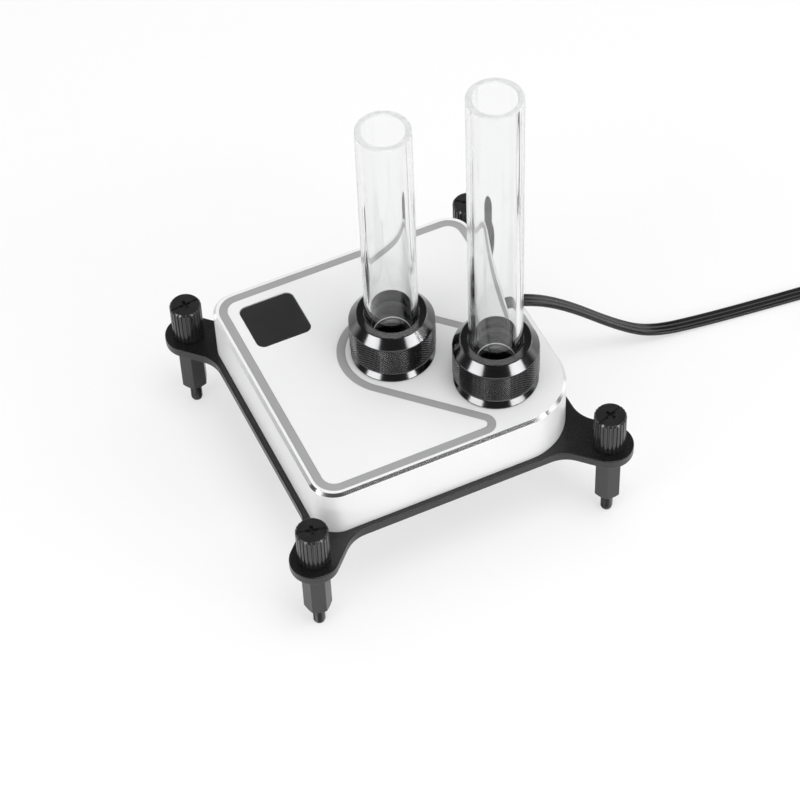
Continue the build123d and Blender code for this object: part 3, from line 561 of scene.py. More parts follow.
def rounded_outline(corners, steps=10):
    """A closed outline through corners (x, y, radius), with an arc at each corner that has a radius."""
    outline = []
    count = len(corners)
    for index, (x, y, radius) in enumerate(corners):
        here = Vector((x, y))
        if radius <= 0:
            outline.append(tuple(here))
            continue
        before = (Vector(corners[index - 1][:2]) - here).normalized()
        after = (Vector(corners[(index + 1) % count][:2]) - here).normalized()
        half_angle = before.angle(after) / 2
        middle = here + (before + after).normalized() * (radius / math.sin(half_angle))
        start = here + before * (radius / math.tan(half_angle)) - middle
        sweep = start.angle_signed(here + after * (radius / math.tan(half_angle)) - middle)
        for step in range(steps + 1):
            turn = -sweep * step / steps
            x = middle.x + start.x * math.cos(turn) - start.y * math.sin(turn)
            y = middle.y + start.x * math.sin(turn) + start.y * math.cos(turn)
            outline.append((x, y))
    return outline


def circle_outline(place, radius, steps=48):
    """A round outline."""
    x, y = place
    angles = [TURN * step / steps for step in range(steps)]
    return [(x + radius * math.cos(angle), y + radius * math.sin(angle)) for angle in angles]


def square_outline(place, half, corner, outlet_corner=None):
    """A square outline with rounded corners, the one beside the outlet with its own radius if given."""
    x, y = place
    other = corner if outlet_corner is None else outlet_corner
    return rounded_outline([
        (x - half, y - half, corner), (x + half, y - half, other),
        (x + half, y + half, corner), (x - half, y + half, corner),
    ])


def plate(name, outlines, low, high, edge=0.0, rounds=2):
    """A flat plate from closed outlines, the inner ones being holes, with its edges eased."""
    clear_selection()
    drawn = bpy.data.curves.new(name, "CURVE")
    drawn.dimensions = "2D"
    drawn.fill_mode = "BOTH"
    drawn.extrude = (high - low) / 2 - edge
    drawn.bevel_depth = edge
    drawn.bevel_resolution = rounds
    drawn.offset = -edge
    for outline in outlines:
        closed_line(drawn, outline)
    piece = new_object(name, drawn)
    piece.location.z = (low + high) / 2
    take(piece)
    bpy.ops.object.convert(target="MESH")
    piece = bpy.context.object
    mend(piece)
    return settle(piece)


def copy_of(piece, name, shift=(0, 0, 0), turn=0.0):
    """Another of the same piece with its own mesh, turned about its own axis and moved."""
    clear_selection()
    piece.select_set(True)
    bpy.context.view_layer.objects.active = piece
    bpy.ops.object.duplicate(linked=False)
    other = named(bpy.context.object, name)
    other.rotation_euler.z = turn
    other.location = shift
    return settle(other)


def finished(piece, body, slot, *nodes):
    """The piece rides on its body and stands for its CAD nodes."""
    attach(piece, body)
    if nodes:
        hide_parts(*nodes)
    return piece


# ---------------------------------------------------------------- pieces


def stripe_outline(sizes, grow):
    """The outline of the light guide's loop, widened by grow from its middle line."""
    side = sizes.stripe_side + grow
    band = sizes.stripe_band - grow
    tip = side - band * math.sqrt(2)
    near = band / math.sqrt(2)
    tip_round = 2.2 * MM + grow
    corner = 4.3 * MM + grow
    arc = [
        (band * math.cos(math.radians(a)), band * math.sin(math.radians(a)), 0) for a in range(48, 225, 3)
    ]
    return rounded_outline(
        [(-near, -near, 0), (tip, -side, tip_round), (-side, -side, corner), (-side, side, corner),
         (side, side, corner), (side, -tip, tip_round), (near, near, 0)] + arc,
        steps=12,
    )


def rib_blocks(sizes, low, high, clearance=0.0):
    """The four straight bars that carry light up into the stripe."""
    side, half, long_half = sizes.stripe_side, 0.6 * MM + clearance, 13 * MM + clearance
    places = [(-10 * MM, -side, True), (10 * MM, side, True), (-side, -10 * MM, False), (side, 10 * MM, False)]
    bars = []
    for x, y, along in places:
        dx, dy = (long_half, half) if along else (half, long_half)
        bars.append(block("bar", (x - dx, y - dy, low), (x + dx, y + dy, high)))
    return bars


class COOLING_OT_cover(bpy.types.Operator):
    """White cover with its polished edge, groove, badge recess, port holes and screw posts"""

    bl_idname = "cooling.cover"
    bl_label = "Cover"

    def execute(self, context):
        sizes = context.scene.cooling_sizes
        half = COVER_HIGH[0]
        cover = rounded_block("cover_shell", half, sizes.corner, sizes.outlet_corner, COVER_BASE, COVER_TOP)
        rim = COVER_TOP - 1e-6
        bevel_edges(cover, lambda a, b: a.z > rim and b.z > rim, offset=sizes.cover_edge, segments=1)
        wall = sizes.cover_wall
        hollow = rounded_block(
            "hollow", half - wall, sizes.corner - wall, sizes.outlet_corner - wall,
            COVER_BASE - MM, COVER_TOP - ROOF,
        )
        cut(cover, hollow)
        for place in COVER_SCREW_PLACES:
            cut(cover, rod("post", place, 2.6 * MM, COVER_BASE, COVER_BASE + 8.5 * MM, 48), operation="UNION")
            cut(cover, rod("hole", place, 1.25 * MM, COVER_BASE - MM, COVER_BASE + 5.5 * MM, 32))
        half_stripe = sizes.stripe_width / 2 + 0.05 * MM
        groove = plate(
            "groove", [stripe_outline(sizes, half_stripe), stripe_outline(sizes, -half_stripe)],
            COVER_TOP - 1.5 * MM, COVER_TOP + MM,
        )
        cut(cover, groove)
        cut(cover, *rib_blocks(sizes, COVER_TOP - ROOF - MM, COVER_TOP - 1.2 * MM, 0.05 * MM))
        recess = plate(
            "recess", [square_outline((-BADGE_SPOT, BADGE_SPOT), sizes.badge_width / 2 + 0.1 * MM, 2.1 * MM)],
            COVER_TOP - 0.8 * MM, COVER_TOP + MM,
        )
        cut(cover, recess)
        for place in FITTING_PLACES.values():
            cut(cover, rod("port", place, 9.75 * MM, COVER_TOP - 5 * MM, COVER_TOP + MM, 96))
        notch = block(
            "notch", (half - 2.1 * MM, 7.15 * MM, COVER_BASE - MM), (half + MM, 11.65 * MM, COVER_BASE + 6.15 * MM)
        )
        bevel_edges(
            notch, lambda a, b: a.z > COVER_BASE and b.z > COVER_BASE and abs(a.y - b.y) < 1e-6,
            offset=0.6 * MM, segments=4,
        )
        cut(cover, notch)
        mend(cover)
        dress(cover, "white_coat", "cut_edge")
        edge_floor = COVER_TOP - sizes.cover_edge - 1e-6
        paint_faces(cover, 1, lambda face: 0.5 < face.normal.z < 0.9 and face.center.z > edge_floor)
        smooth(cover, 28)
        finished(cover, "block", "white_cover", "cover")
        return {"FINISHED"}


class COOLING_OT_light_guide(bpy.types.Operator):
    """Grey light guide: one closed loop with bars down to the lights"""

    bl_idname = "cooling.light_guide"
    bl_label = "Light guide"

    def execute(self, context):
        sizes = context.scene.cooling_sizes
        half = sizes.stripe_width / 2
        loop = plate(
            "light_guide_loop", [stripe_outline(sizes, half), stripe_outline(sizes, -half)],
            COVER_TOP - 1.5 * MM, COVER_TOP, edge=0.06 * MM, rounds=1,
        )
        bars = rib_blocks(sizes, COVER_TOP - ROOF, COVER_TOP - 1.3 * MM)
        guide = cut(loop, *bars, operation="UNION")
        dress(guide, "light_guide")
        smooth(guide, 30)
        finished(guide, "block", "light_guide", "light_guide")
        return {"FINISHED"}


class COOLING_OT_badge(bpy.types.Operator):
    """Bare glossy badge plate in its recess"""

    bl_idname = "cooling.badge"
    bl_label = "Badge plate"

    def execute(self, context):
        sizes = context.scene.cooling_sizes
        badge = plate(
            "badge_face", [square_outline((-BADGE_SPOT, BADGE_SPOT), sizes.badge_width / 2, 2.0 * MM)],
            COVER_TOP - 0.8 * MM, COVER_TOP - 0.1 * MM, edge=0.2 * MM, rounds=3,
        )
        dress(badge, "badge")
        smooth(badge, 30)
        finished(badge, "block", "badge_black", "badge_plate")
        return {"FINISHED"}


class COOLING_OT_bracket(bpy.types.Operator):
    """Black bracket with four ears, its window and its holes"""

    bl_idname = "cooling.bracket"
    bl_label = "Bracket"

    def execute(self, context):
        sizes = context.scene.cooling_sizes
        side, ear = sizes.bracket_side, sizes.ear_radius
        neck = side - ear * math.sqrt(2)
        corner = [(side, neck, 8.0 * MM)]
        corner += [
            (SCREW_REACH + ear * math.cos(math.radians(a)), SCREW_REACH + ear * math.sin(math.radians(a)), 0)
            for a in range(-45, 136, 6)
        ]
        corner += [(neck, side, 8.0 * MM)]
        outline = []
        for quarter in range(4):
            spin = Matrix.Rotation(quarter * TURN / 4, 2)
            for x, y, radius in corner:
                turned_point = spin @ Vector((x, y))
                outline.append((turned_point.x, turned_point.y, radius))
        holes = [circle_outline(place, 1.75 * MM) for place in SCREW_PLACES.values()]
        holes += [circle_outline(place, 1.4 * MM) for place in COVER_SCREW_PLACES]
        window = square_outline((0, 0), 29.5 * MM, 7.3 * MM, 12.3 * MM)
        bracket = plate(
            "bracket_frame", [rounded_outline(outline), window] + holes, BRACKET_BASE, COVER_BASE,
            edge=0.25 * MM, rounds=3,
        )
        for place in COVER_SCREW_PLACES:
            flare = [
                (2.55 * MM, BRACKET_BASE - 0.1 * MM), (2.45 * MM, BRACKET_BASE), (1.25 * MM, BRACKET_BASE + 1.2 * MM),
            ]
            cut(bracket, turned("sink", place, flare, steps=48, solid=True))
        dress(bracket, "bracket")
        smooth(bracket, 30)
        finished(bracket, "block", "black_metal", "bracket")
        return {"FINISHED"}


class COOLING_OT_standoffs(bpy.types.Operator):
    """Four hexagonal standoffs with turned ends and threaded studs"""

    bl_idname = "cooling.standoffs"
    bl_label = "Standoffs"

    def execute(self, context):
        sizes = context.scene.cooling_sizes
        foot, top = 6.5 * MM, BRACKET_BASE
        across = sizes.standoff_flats / math.sqrt(3)
        clear_selection()
        bpy.ops.mesh.primitive_cylinder_add(
            vertices=6, radius=across, depth=top - foot, location=(0, 0, (foot + top) / 2), rotation=(0, 0, TURN / 12)
        )
        spacer = settle(bpy.context.object)
        bevel_edges(spacer, lambda a, b: abs(a.z - b.z) > MM, offset=0.12 * MM, segments=3)
        wide = across + 0.1 * MM
        ends = [(2.55 * MM, foot), (wide, foot + 0.8 * MM), (wide, top - 0.6 * MM), (2.65 * MM, top)]
        cut(spacer, turned("ends", (0, 0), ends, steps=96, solid=True), operation="INTERSECT")
        cut(spacer, rod("bore", (0, 0), 1.55 * MM, top - 9 * MM, top + MM, 48))
        stud = threaded_rod("stud", 1.28 * MM, 1.5 * MM, 0.0, foot + 0.2 * MM)
        dress(spacer, "standoffs")
        dress(stud, "stud")
        one = join("standoff", [spacer, stud])
        smooth(one, 30)
        turns = {"front": 44.5, "right": 0.0, "back": 12.0, "left": 7.0}
        copies = [
            copy_of(one, f"standoff_{name}", (*place, 0), math.radians(turns[name]))
            for name, place in SCREW_PLACES.items()
        ]
        bpy.data.objects.remove(one)
        standoffs = join("hex_standoffs", copies)
        finished(standoffs, "block", "standoff_black", "standoffs")
        return {"FINISHED"}


def threaded_rod(name, core_radius, outside, low, high, pitch=0.5 * MM):
    """A turned rod with a screw thread: one ridge carried round and up by a Screw modifier."""
    core = [(core_radius - 0.25 * MM, low), (core_radius, low + 0.25 * MM), (core_radius, high)]
    shank = turned(name, (0, 0), core, steps=48, solid=True)
    clear_selection()
    bpy.ops.mesh.primitive_circle_add(vertices=3, radius=0.2 * MM, location=(0, 0, 0))
    ridge = bpy.context.object
    rise = pitch * 0.42
    shape = [(core_radius - 0.05 * MM, -rise), (outside, 0.0), (core_radius - 0.05 * MM, rise)]
    for corner, (x, z) in zip(ridge.data.vertices, shape):
        corner.co = (x, 0, z + low + 0.55 * MM)
    turns = int((high - low - 0.7 * MM) / pitch)
    use_modifier(
        ridge, "SCREW", axis="Z", angle=TURN, screw_offset=pitch, iterations=turns, steps=28, render_steps=28,
        use_merge_vertices=True, merge_threshold=0.000001,
    )
    take(ridge)
    bpy.ops.object.mode_set(mode="EDIT")
    bpy.ops.mesh.select_all(action="DESELECT")
    bpy.ops.mesh.select_mode(type="EDGE")
    bpy.ops.mesh.select_non_manifold(
        extend=False, use_wire=False, use_boundary=True, use_multi_face=False, use_non_contiguous=False,
        use_verts=False,
    )
    bpy.ops.mesh.edge_face_add()
    bpy.ops.object.mode_set(mode="OBJECT")
    mend(ridge)
    return join(name, [shank, ridge])


class COOLING_OT_thumb_screws(bpy.types.Operator):
    """Four fluted thumb screws, hollow below for their springs, with a slot and a cross on top"""

    bl_idname = "cooling.thumb_screws"
    bl_label = "Thumb screws"

    def execute(self, context):
        sizes = context.scene.cooling_sizes
        base, top, radius = COVER_BASE, COVER_BASE + 10.8 * MM, sizes.head_radius
        head = turned(
            "thumb_head", (0, 0),
            [(1.1 * MM, base - 8.4 * MM), (1.5 * MM, base - 8.0 * MM), (1.5 * MM, base + 7.0 * MM),
             (3.0 * MM, base + 7.0 * MM), (3.0 * MM, base), (radius - 0.5 * MM, base), (radius, base + 0.7 * MM),
             (radius, top - 0.5 * MM), (radius - 0.36 * MM, top - 0.04 * MM), (radius - 0.45 * MM, top)],
            steps=8 * sizes.flute_count, solid=True,
        )

        def in_flute(point):
            reach = math.hypot(point.x, point.y)
            step = round(math.atan2(point.y, point.x) / TURN * 8 * sizes.flute_count) % 8
            return reach > radius - 0.02 * MM and step in (2, 3, 4)

        inwards = (radius - sizes.flute_depth) / radius
        pick(head, "VERT", in_flute)
        bpy.ops.transform.resize(value=(inwards, inwards, 1), center_override=(0, 0, 0))
        bpy.ops.object.mode_set(mode="OBJECT")
        slot = block("slot", (-5 * MM, -0.36 * MM, top - 0.32 * MM), (5 * MM, 0.36 * MM, top + MM))
        cross_a = block("cross_a", (-1.4 * MM, -0.45 * MM, top - 0.9 * MM), (1.4 * MM, 0.45 * MM, top + MM))
        cross_b = block("cross_b", (-0.45 * MM, -1.4 * MM, top - 0.9 * MM), (0.45 * MM, 1.4 * MM, top + MM))
        cut(head, slot, cross_a, cross_b)
        smooth(head, 24)
        turns = {"front": -15.0, "right": 20.0, "back": -40.0, "left": 5.0}
        for number, (name, place) in enumerate(SCREW_PLACES.items(), start=1):
            screw = copy_of(head, f"thumb_screw_{name}", (*place, 0), math.radians(turns[name]))
            dress(screw, "screws")
            finished(screw, f"thumb_screw_{number}", "screw_black", f"thumb_screw_{number}")
        bpy.data.objects.remove(head)
        return {"FINISHED"}


class COOLING_OT_fittings(bpy.types.Operator):
    """Two compression fittings: a body with a polished flange, and a knurled collar"""

    bl_idname = "cooling.fittings"
    bl_label = "Fittings"

    def execute(self, context):
        sizes = context.scene.cooling_sizes
        columns = 2 * sizes.knurl_count

        def levels(points):
            return [(radius * MM, COVER_TOP + height * MM) for radius, height in points]

        ridge = ((8.5, 0), (8.9, 0.4), (8.9, 0.6), (8.5, 1))
        thread = [(radius, 2.3 + turn + rise) for turn in range(7) for radius, rise in ridge]
        thread = [point for point, after in zip(thread, thread[1:] + [None]) if point != after]
        flange = [
            (4.5, -5.5), (6.3, -5.5), (6.55, -5.2), (6.55, 0), (7.4, 0), (7.4, 1.1), (8.6, 1.1), (8.6, 0), (10.1, 0),
            (10.3, 0.2), (10.3, 0.45), (9.35, 1.65), (9.1, 1.75), (8.6, 1.85),
        ]
        mouth = [
            (8.5, 9.35), (8.75, 9.5), (6.6, 9.5), (6.55, 9.45), (6.55, 7.6), (7.65, 7.6), (7.65, 6.4), (6.55, 6.4),
            (6.55, 6.3), (5.0, 6.3), (4.5, 5.8),
        ]
        body = turned("fitting_body", (0, 0), levels(flange + thread + mouth), steps=160)
        smooth(body, 22)
        rows = 24
        low, high = 3.35, 11.3
        outside = sizes.collar_radius / MM
        ridges = [(outside, low + (high - low) * row / rows) for row in range(rows + 1)]
        collar = turned(
            "collar", (0, 0),
            levels([(8.95, 2.78), (10.15, 2.78), (outside - 0.1, 3.05)] + ridges + [
                (outside - 0.1, 11.5), (10.36, 11.66), (8.62, 13.86), (8.42, 14.0), (6.74, 14.0), (6.62, 13.9),
                (6.62, 12.1), (8.95, 12.1),
            ]),
            steps=columns,
        )
        pitch = (high - low) / rows

        def is_point(corner):
            """Every second crossing of the grid on the knurled band."""
            row = (corner.z - COVER_TOP) / MM - low
            if math.hypot(corner.x, corner.y) / MM < outside - 0.03 or not -0.01 < row < high - low + 0.01:
                return False
            column = round(math.atan2(corner.y, corner.x) / TURN * columns)
            return (column + round(row / pitch)) % 2 == 0

        inwards = 1 - sizes.knurl_depth / sizes.collar_radius
        pick(collar, "VERT", is_point)
        bpy.ops.transform.resize(value=(inwards, inwards, 1), center_override=(0, 0, 0))
        bpy.ops.object.mode_set(mode="OBJECT")

        def knurled(face, x=0.0, y=0.0):
            height = (face.center.z - COVER_TOP) / MM
            reach = math.hypot(face.center.x - x, face.center.y - y) / MM
            return low - 0.01 < height < high + 0.01 and reach > outside - 0.3

        pick(collar, "FACE", knurled)
        bpy.ops.mesh.quads_convert_to_tris(quad_method="SHORTEST_DIAGONAL", ngon_method="BEAUTY")
        bpy.ops.object.mode_set(mode="OBJECT")
        # Height of each point on the knurl; the knurl finish paints shade into the grooves from it.
        heights = collar.data.attributes.new("knurl_height", "FLOAT", "POINT")
        for corner, mark in zip(collar.data.vertices, heights.data):
            sunk = sizes.collar_radius - math.hypot(corner.co.x, corner.co.y)
            mark.value = 1 - min(1.0, max(0.0, sunk / sizes.knurl_depth))
        take(collar)
        bpy.ops.object.shade_smooth_by_angle(angle=math.radians(14))
        turns = {"inlet": 7.0, "outlet": 3.0}
        for side, place in FITTING_PLACES.items():
            barrel = copy_of(body, f"{side}_barrel", (*place, 0))
            dress(barrel, "plating")
            finished(barrel, "block", "fitting_black", f"{side}_fitting_body")
            nut = copy_of(collar, f"{side}_knurled_collar", (*place, 0), math.radians(turns[side]))
            dress(nut, "plating", "knurl")
            paint_faces(nut, 1, lambda face, place=place: knurled(face, *place))
            finished(nut, f"{side}_collar", "fitting_black", f"{side}_collar")
        bpy.data.objects.remove(body)
        bpy.data.objects.remove(collar)
        return {"FINISHED"}


class COOLING_OT_tubes(bpy.types.Operator):
    """Two clear hard tubes with eased, sawn ends"""

    bl_idname = "cooling.tubes"
    bl_label = "Tubes"

    def execute(self, context):
        sizes = context.scene.cooling_sizes
        for side, place in FITTING_PLACES.items():
            low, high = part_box(f"{side}_tube")
            foot, top = low[2] + 1.6 * MM, high[2]
            outer, inner, ease = sizes.tube_radius, sizes.tube_bore, 0.25 * MM
            tube = turned(
                f"{side}_clear_tube", place,
                [(inner + 0.1 * MM, foot), (outer - ease, foot), (outer, foot + ease), (outer, top - ease),
                 (outer - ease, top), (inner + ease, top), (inner, top - ease), (inner, foot + 0.1 * MM)],
                steps=192,
            )
            # The end faces take the sawn finish, whose faint glow is painted light.
            dress(tube, "acrylic", "tube_end")
            paint_faces(tube, 1, lambda face: abs(face.normal.z) > 0.6)
            smooth(tube, 30)
            finished(tube, "block", "clear_tube", f"{side}_tube")
        return {"FINISHED"}


# ---------------------------------------------------------------- lead

LEAD_START = Vector((33.204, 9.4, 0)) * MM
LEAD_FORWARD = Vector((0.99452, -0.10453, 0))
LEAD_LEFT = Vector((0.10453, 0.99452, 0))
LEAD_POINTS = [(0, 30.2), (6, 29.4), (17, 23.3), (33, 8.2), (42.5, 2.2), (56, 1.0), (75, 0.7), (94, 0.7)]
COIL_FORWARD = 108
COIL_RADIUS = 24.25
COIL_HEIGHT = 2.45
PLUG_HEIGHT = 2.05
TAIL_RADIUS = 12.0
COIL_TURNS = 3
COIL_STEPS = 16


def lead_route():
    """The lead's control points and the turn of the ribbon at each, from the header to the plug."""
    route = []

    def add(along, left, height, tilt):
        at = LEAD_START + LEAD_FORWARD * (along * MM) + LEAD_LEFT * (left * MM)
        route.append(((at.x, at.y, height * MM), tilt))

    for along, height in LEAD_POINTS:
        add(along, 0, height, 0.0)
    add(99, 0, 1.2, 28.0)
    add(103.5, 0, 2.1, 65.0)
    swell = 1 / (0.75 + 0.25 * math.cos(TURN / COIL_STEPS))
    for step in range(1, COIL_TURNS * COIL_STEPS):
        share = (step - 0.5) / COIL_STEPS
        angle = TURN / 4 - TURN * share
        radius = (COIL_RADIUS - 1.5 * share) * swell
        loose = 0.12 * math.sin(step * 2.3)
        add(
            COIL_FORWARD + radius * math.cos(angle), radius * math.sin(angle) - COIL_RADIUS,
            COIL_HEIGHT + loose, 90.0,
        )
    tail_left = 19.75 - TAIL_RADIUS - COIL_RADIUS
    radius = TAIL_RADIUS * 1.01
    for step in range(5):
        angle = math.radians(90 - 24 * (step + 0.4))
        tilt = 90.0 * max(0.0, 1 - step / 4)
        height = COIL_HEIGHT - 0.08 * step
        add(COIL_FORWARD + radius * math.cos(angle), tail_left + radius * math.sin(angle), height, tilt)
    add(COIL_FORWARD + 11.39, 3.48 - COIL_RADIUS, PLUG_HEIGHT, 0.0)
    add(COIL_FORWARD + 10.14, 1.32 - COIL_RADIUS, PLUG_HEIGHT, 0.0)
    return route


def plug_place():
    """Where the plug starts and the way it points, seen from above."""
    start = LEAD_START + LEAD_FORWARD * ((COIL_FORWARD + 10.39) * MM) + LEAD_LEFT * ((1.75 - COIL_RADIUS) * MM)
    way = LEAD_FORWARD * -0.5 + LEAD_LEFT * -0.866
    return start, way.normalized()


def placed(piece, middle, along):
    """The piece, modelled along +X at the origin, is turned to a direction and set at its place."""
    piece.rotation_euler.z = math.atan2(along.y, along.x)
    piece.location = middle
    return settle(piece)


class COOLING_OT_lead(bpy.types.Operator):
    """Flat three-core lead with its coil, its tie and its plug"""

    bl_idname = "cooling.lead"
    bl_label = "Lighting lead"

    def execute(self, context):
        route = lead_route()
        drawn = bpy.data.curves.new("lead_line", "CURVE")
        drawn.dimensions = "3D"
        drawn.twist_mode = "Z_UP"
        drawn.resolution_u = 6
        line = drawn.splines.new("NURBS")
        line.points.add(len(route) - 1)
        for point, (place, tilt) in zip(line.points, route):
            point.co = (*place, 1)
            point.tilt = math.radians(tilt)
        line.order_u = 3
        line.use_endpoint_u = True
        lead = new_object("ribbon_lead", drawn)
        context.view_layer.update()
        bare = bpy.data.meshes.new_from_object(lead)
        bpy.data.meshes.remove(bare)
        upper = []
        for middle in (-1.3, 0.0, 1.3):
            first = 180 if middle < 0 else 133
            last = 0 if middle > 0 else 47
            for step in range(10):
                angle = math.radians(first + (last - first) * step / 9)
                upper.append(((middle + 0.65 * math.cos(angle)) * MM, 0.65 * math.sin(angle) * MM))
        lower = [(x, -y) for x, y in reversed(upper[1:-1])]
        shape = bpy.data.curves.new("lead_section", "CURVE")
        shape.dimensions = "2D"
        closed_line(shape, upper + lower)
        section = new_object("lead_section", shape)
        drawn.bevel_mode = "OBJECT"
        drawn.bevel_object = section
        drawn.use_fill_caps = True
        take(lead)
        bpy.ops.object.convert(target="MESH")
        lead = context.object
        bpy.data.objects.remove(section)
        mend(lead)
        take(lead)
        bpy.ops.object.shade_smooth_by_angle(angle=math.radians(40))
        dress(lead, "jacket")
        settle(lead)
        tie = self.make_tie()
        plug = self.make_plug()
        finished(lead, "block", "lead_black", "led_lead", "led_lead_coil")
        return {"FINISHED"}

    def make_tie(self):
        """A nylon strap round the coil's turns, with its head on top."""

        def ring(width, height, corner):
            sides = ((-width, -height), (width, -height), (width, height), (-width, height))
            return rounded_outline([(x * MM, y * MM, corner * MM) for x, y in sides])

        outer = ring(3.45, 2.4, 0.7)
        inner = ring(3.05, 2.0, 0.35)
        strap = plate("strap", [outer, inner], -1.5 * MM, 1.5 * MM, edge=0.1 * MM, rounds=1)
        head = block("head", (1.0 * MM, -1.7 * MM, -1.6 * MM), (4.4 * MM, 1.7 * MM, 1.6 * MM))
        head.location = (-0.2 * MM, 3.0 * MM, 0)
        head.scale = (0.9, 0.42, 1.0)
        settle(head)
        smooth(head, 30, edge=0.25 * MM, segments=3)
        smooth(strap, 30)
        tie = join("coil_tie", [strap, head])
        spin = Matrix((tuple(LEAD_LEFT), (0, 0, 1), tuple(LEAD_FORWARD))).transposed()
        tie.rotation_euler = spin.to_euler()
        centre = LEAD_START + LEAD_FORWARD * (COIL_FORWARD * MM) + LEAD_LEFT * ((-COIL_RADIUS - 22.0) * MM)
        tie.location = (centre.x, centre.y, COIL_HEIGHT * MM)
        settle(tie)
        mend(tie)
        dress(tie, "tie")
        return finished(tie, "block", "tie_black", "lead_tie")

    def make_plug(self):
        """A three-way plug with a neck, side rails and three sockets."""
        start, way = plug_place()
        housing = block("housing", (3.0 * MM, -4.1 * MM, -2.0 * MM), (11.0 * MM, 4.1 * MM, 2.0 * MM))
        smooth(housing, 30, edge=0.3 * MM, segments=3)
        neck = block("neck", (0.0, -3.6 * MM, -1.5 * MM), (3.2 * MM, 3.6 * MM, 1.5 * MM))
        smooth(neck, 30, edge=0.25 * MM, segments=3)
        for y in (-2.54, 0.0, 2.54):
            socket = block("socket", (5 * MM, (y - 0.45) * MM, -0.45 * MM), (12 * MM, (y + 0.45) * MM, 0.45 * MM))
            window = block("window", (6.5 * MM, (y - 0.55) * MM, 1.5 * MM), (9.0 * MM, (y + 0.55) * MM, 3 * MM))
            cut(housing, socket, window)
        plug = join("lead_plug", [housing, neck])
        placed(plug, (start.x, start.y, PLUG_HEIGHT * MM), way)
        dress(plug, "plug")
        return finished(plug, "block", "plug_black", "lead_connector")


class COOLING_OT_finishes(bpy.types.Operator):
    """Finishes for the CAD nodes that stay as they are"""

    bl_idname = "cooling.finishes"
    bl_label = "Finishes"

    def execute(self, context):
        FINISHES.update(make_finishes(context.scene.cooling_colours))
        kept = {
            "chamber_body": "acetal", "cold_plate": "nickel", "base_gasket": "rubber", "jet_plate": "steel",
            "base_screws": "steel", "cover_screws": "steel", "led_board": "board", "leds": "lens", "led_header": "nylon",
        }
        for number in range(1, 5):
            kept[f"thumb_spring_{number}"] = "spring"
        for side in FITTING_PLACES:
            kept[f"{side}_compression_ring"] = "ring"
            for seal in ("face_seal", "inner_seal", "outer_seal"):
                kept[f"{side}_{seal}"] = "rubber"
        for node, name in kept.items():
            dress_node(node, name)
        return {"FINISHED"}


# ---------------------------------------------------------------- stage


def soft_box(name, azimuth, elevation, distance, width, height, power):
    """A rectangular lamp that looks at the block."""
    lamp = bpy.data.lights.new(name, "AREA")
    lamp.shape = "RECTANGLE"
    lamp.size = width
    lamp.size_y = height
    lamp.energy = power
    stand = new_object(name, lamp)
    level, turn = math.radians(elevation), math.radians(azimuth)
    way = Vector((math.cos(turn) * math.cos(level), math.sin(turn) * math.cos(level), math.sin(level)))
    aim = Vector((0, 0, 0.04))
    stand.location = aim + way * distance
    stand.rotation_euler = way.to_track_quat("Z", "Y").to_euler()


def seen_directly(tree, rays):
    """A node that gives 1 for what the camera sees, also through glass."""
    seen = add_node(tree, "ShaderNodeMath", operation="MAXIMUM")
    wire(tree, (rays, "Is Camera Ray", seen, 0), (rays, "Is Transmission Ray", seen, 1))
    return seen


def stage_floor():
    """A pale floor that keeps the block's shadow and is white to the camera."""
    clear_selection()
    bpy.ops.mesh.primitive_plane_add(size=8, location=(0, 0, 0))
    floor = bpy.context.object
    floor.name = "studio_floor"
    made, tree, shader = node_material("floor_white")
    shader.inputs["Base Color"].default_value = (0.86, 0.86, 0.86, 1)
    shader.inputs["Roughness"].default_value = 0.9
    shader.inputs["Specular IOR Level"].default_value = 0.1
    rays = add_node(tree, "ShaderNodeLightPath")
    glow = add_node(tree, "ShaderNodeEmission", {"Color": (1, 1, 1, 1), "Strength": 1.1})
    level = add_node(tree, "ShaderNodeMath", {1: 0.5}, operation="MULTIPLY")
    both = add_node(tree, "ShaderNodeMixShader")
    wire(
        tree,
        (seen_directly(tree, rays), "Value", level, 0),
        (level, "Value", both, "Fac"),
        (shader, "BSDF", both, 1),
        (glow, "Emission", both, 2),
        (both, "Shader", tree.nodes["Material Output"], "Surface"),
    )
    floor.data.materials.append(made)


def studio_room(strength):
    """Even room light, dark in reflections of the high front, and plain white to the camera and through glass."""
    room = bpy.data.worlds.new("studio_room")
    bpy.context.scene.world = room
    room.use_nodes = True
    tree = room.node_tree
    shade = tree.nodes["Background"]
    shade.inputs["Color"].default_value = (1, 1, 1, 1)
    where = add_node(tree, "ShaderNodeTexCoord")
    rays = add_node(tree, "ShaderNodeLightPath")
    dark = add_node(tree, "ShaderNodeVectorMath", {1: (-0.235, -0.552, 0.8)}, operation="DOT_PRODUCT")
    fall = add_node(
        tree, "ShaderNodeMapRange", {"From Min": -0.12, "From Max": 0.14, "To Min": 1.3, "To Max": 0.08},
        interpolation_type="SMOOTHSTEP",
    )
    mirrored = add_node(tree, "ShaderNodeMix", {"A": strength}, data_type="FLOAT")
    level = add_node(tree, "ShaderNodeMix", {"B": 1.0}, data_type="FLOAT")
    wire(
        tree,
        (where, "Generated", dark, 0),
        (dark, "Value", fall, "Value"),
        (rays, "Is Glossy Ray", mirrored, "Factor"),
        (fall, "Result", mirrored, "B"),
        (seen_directly(tree, rays), "Value", level, "Factor"),
        (mirrored, "Result", level, "A"),
        (level, "Result", shade, "Strength"),
    )


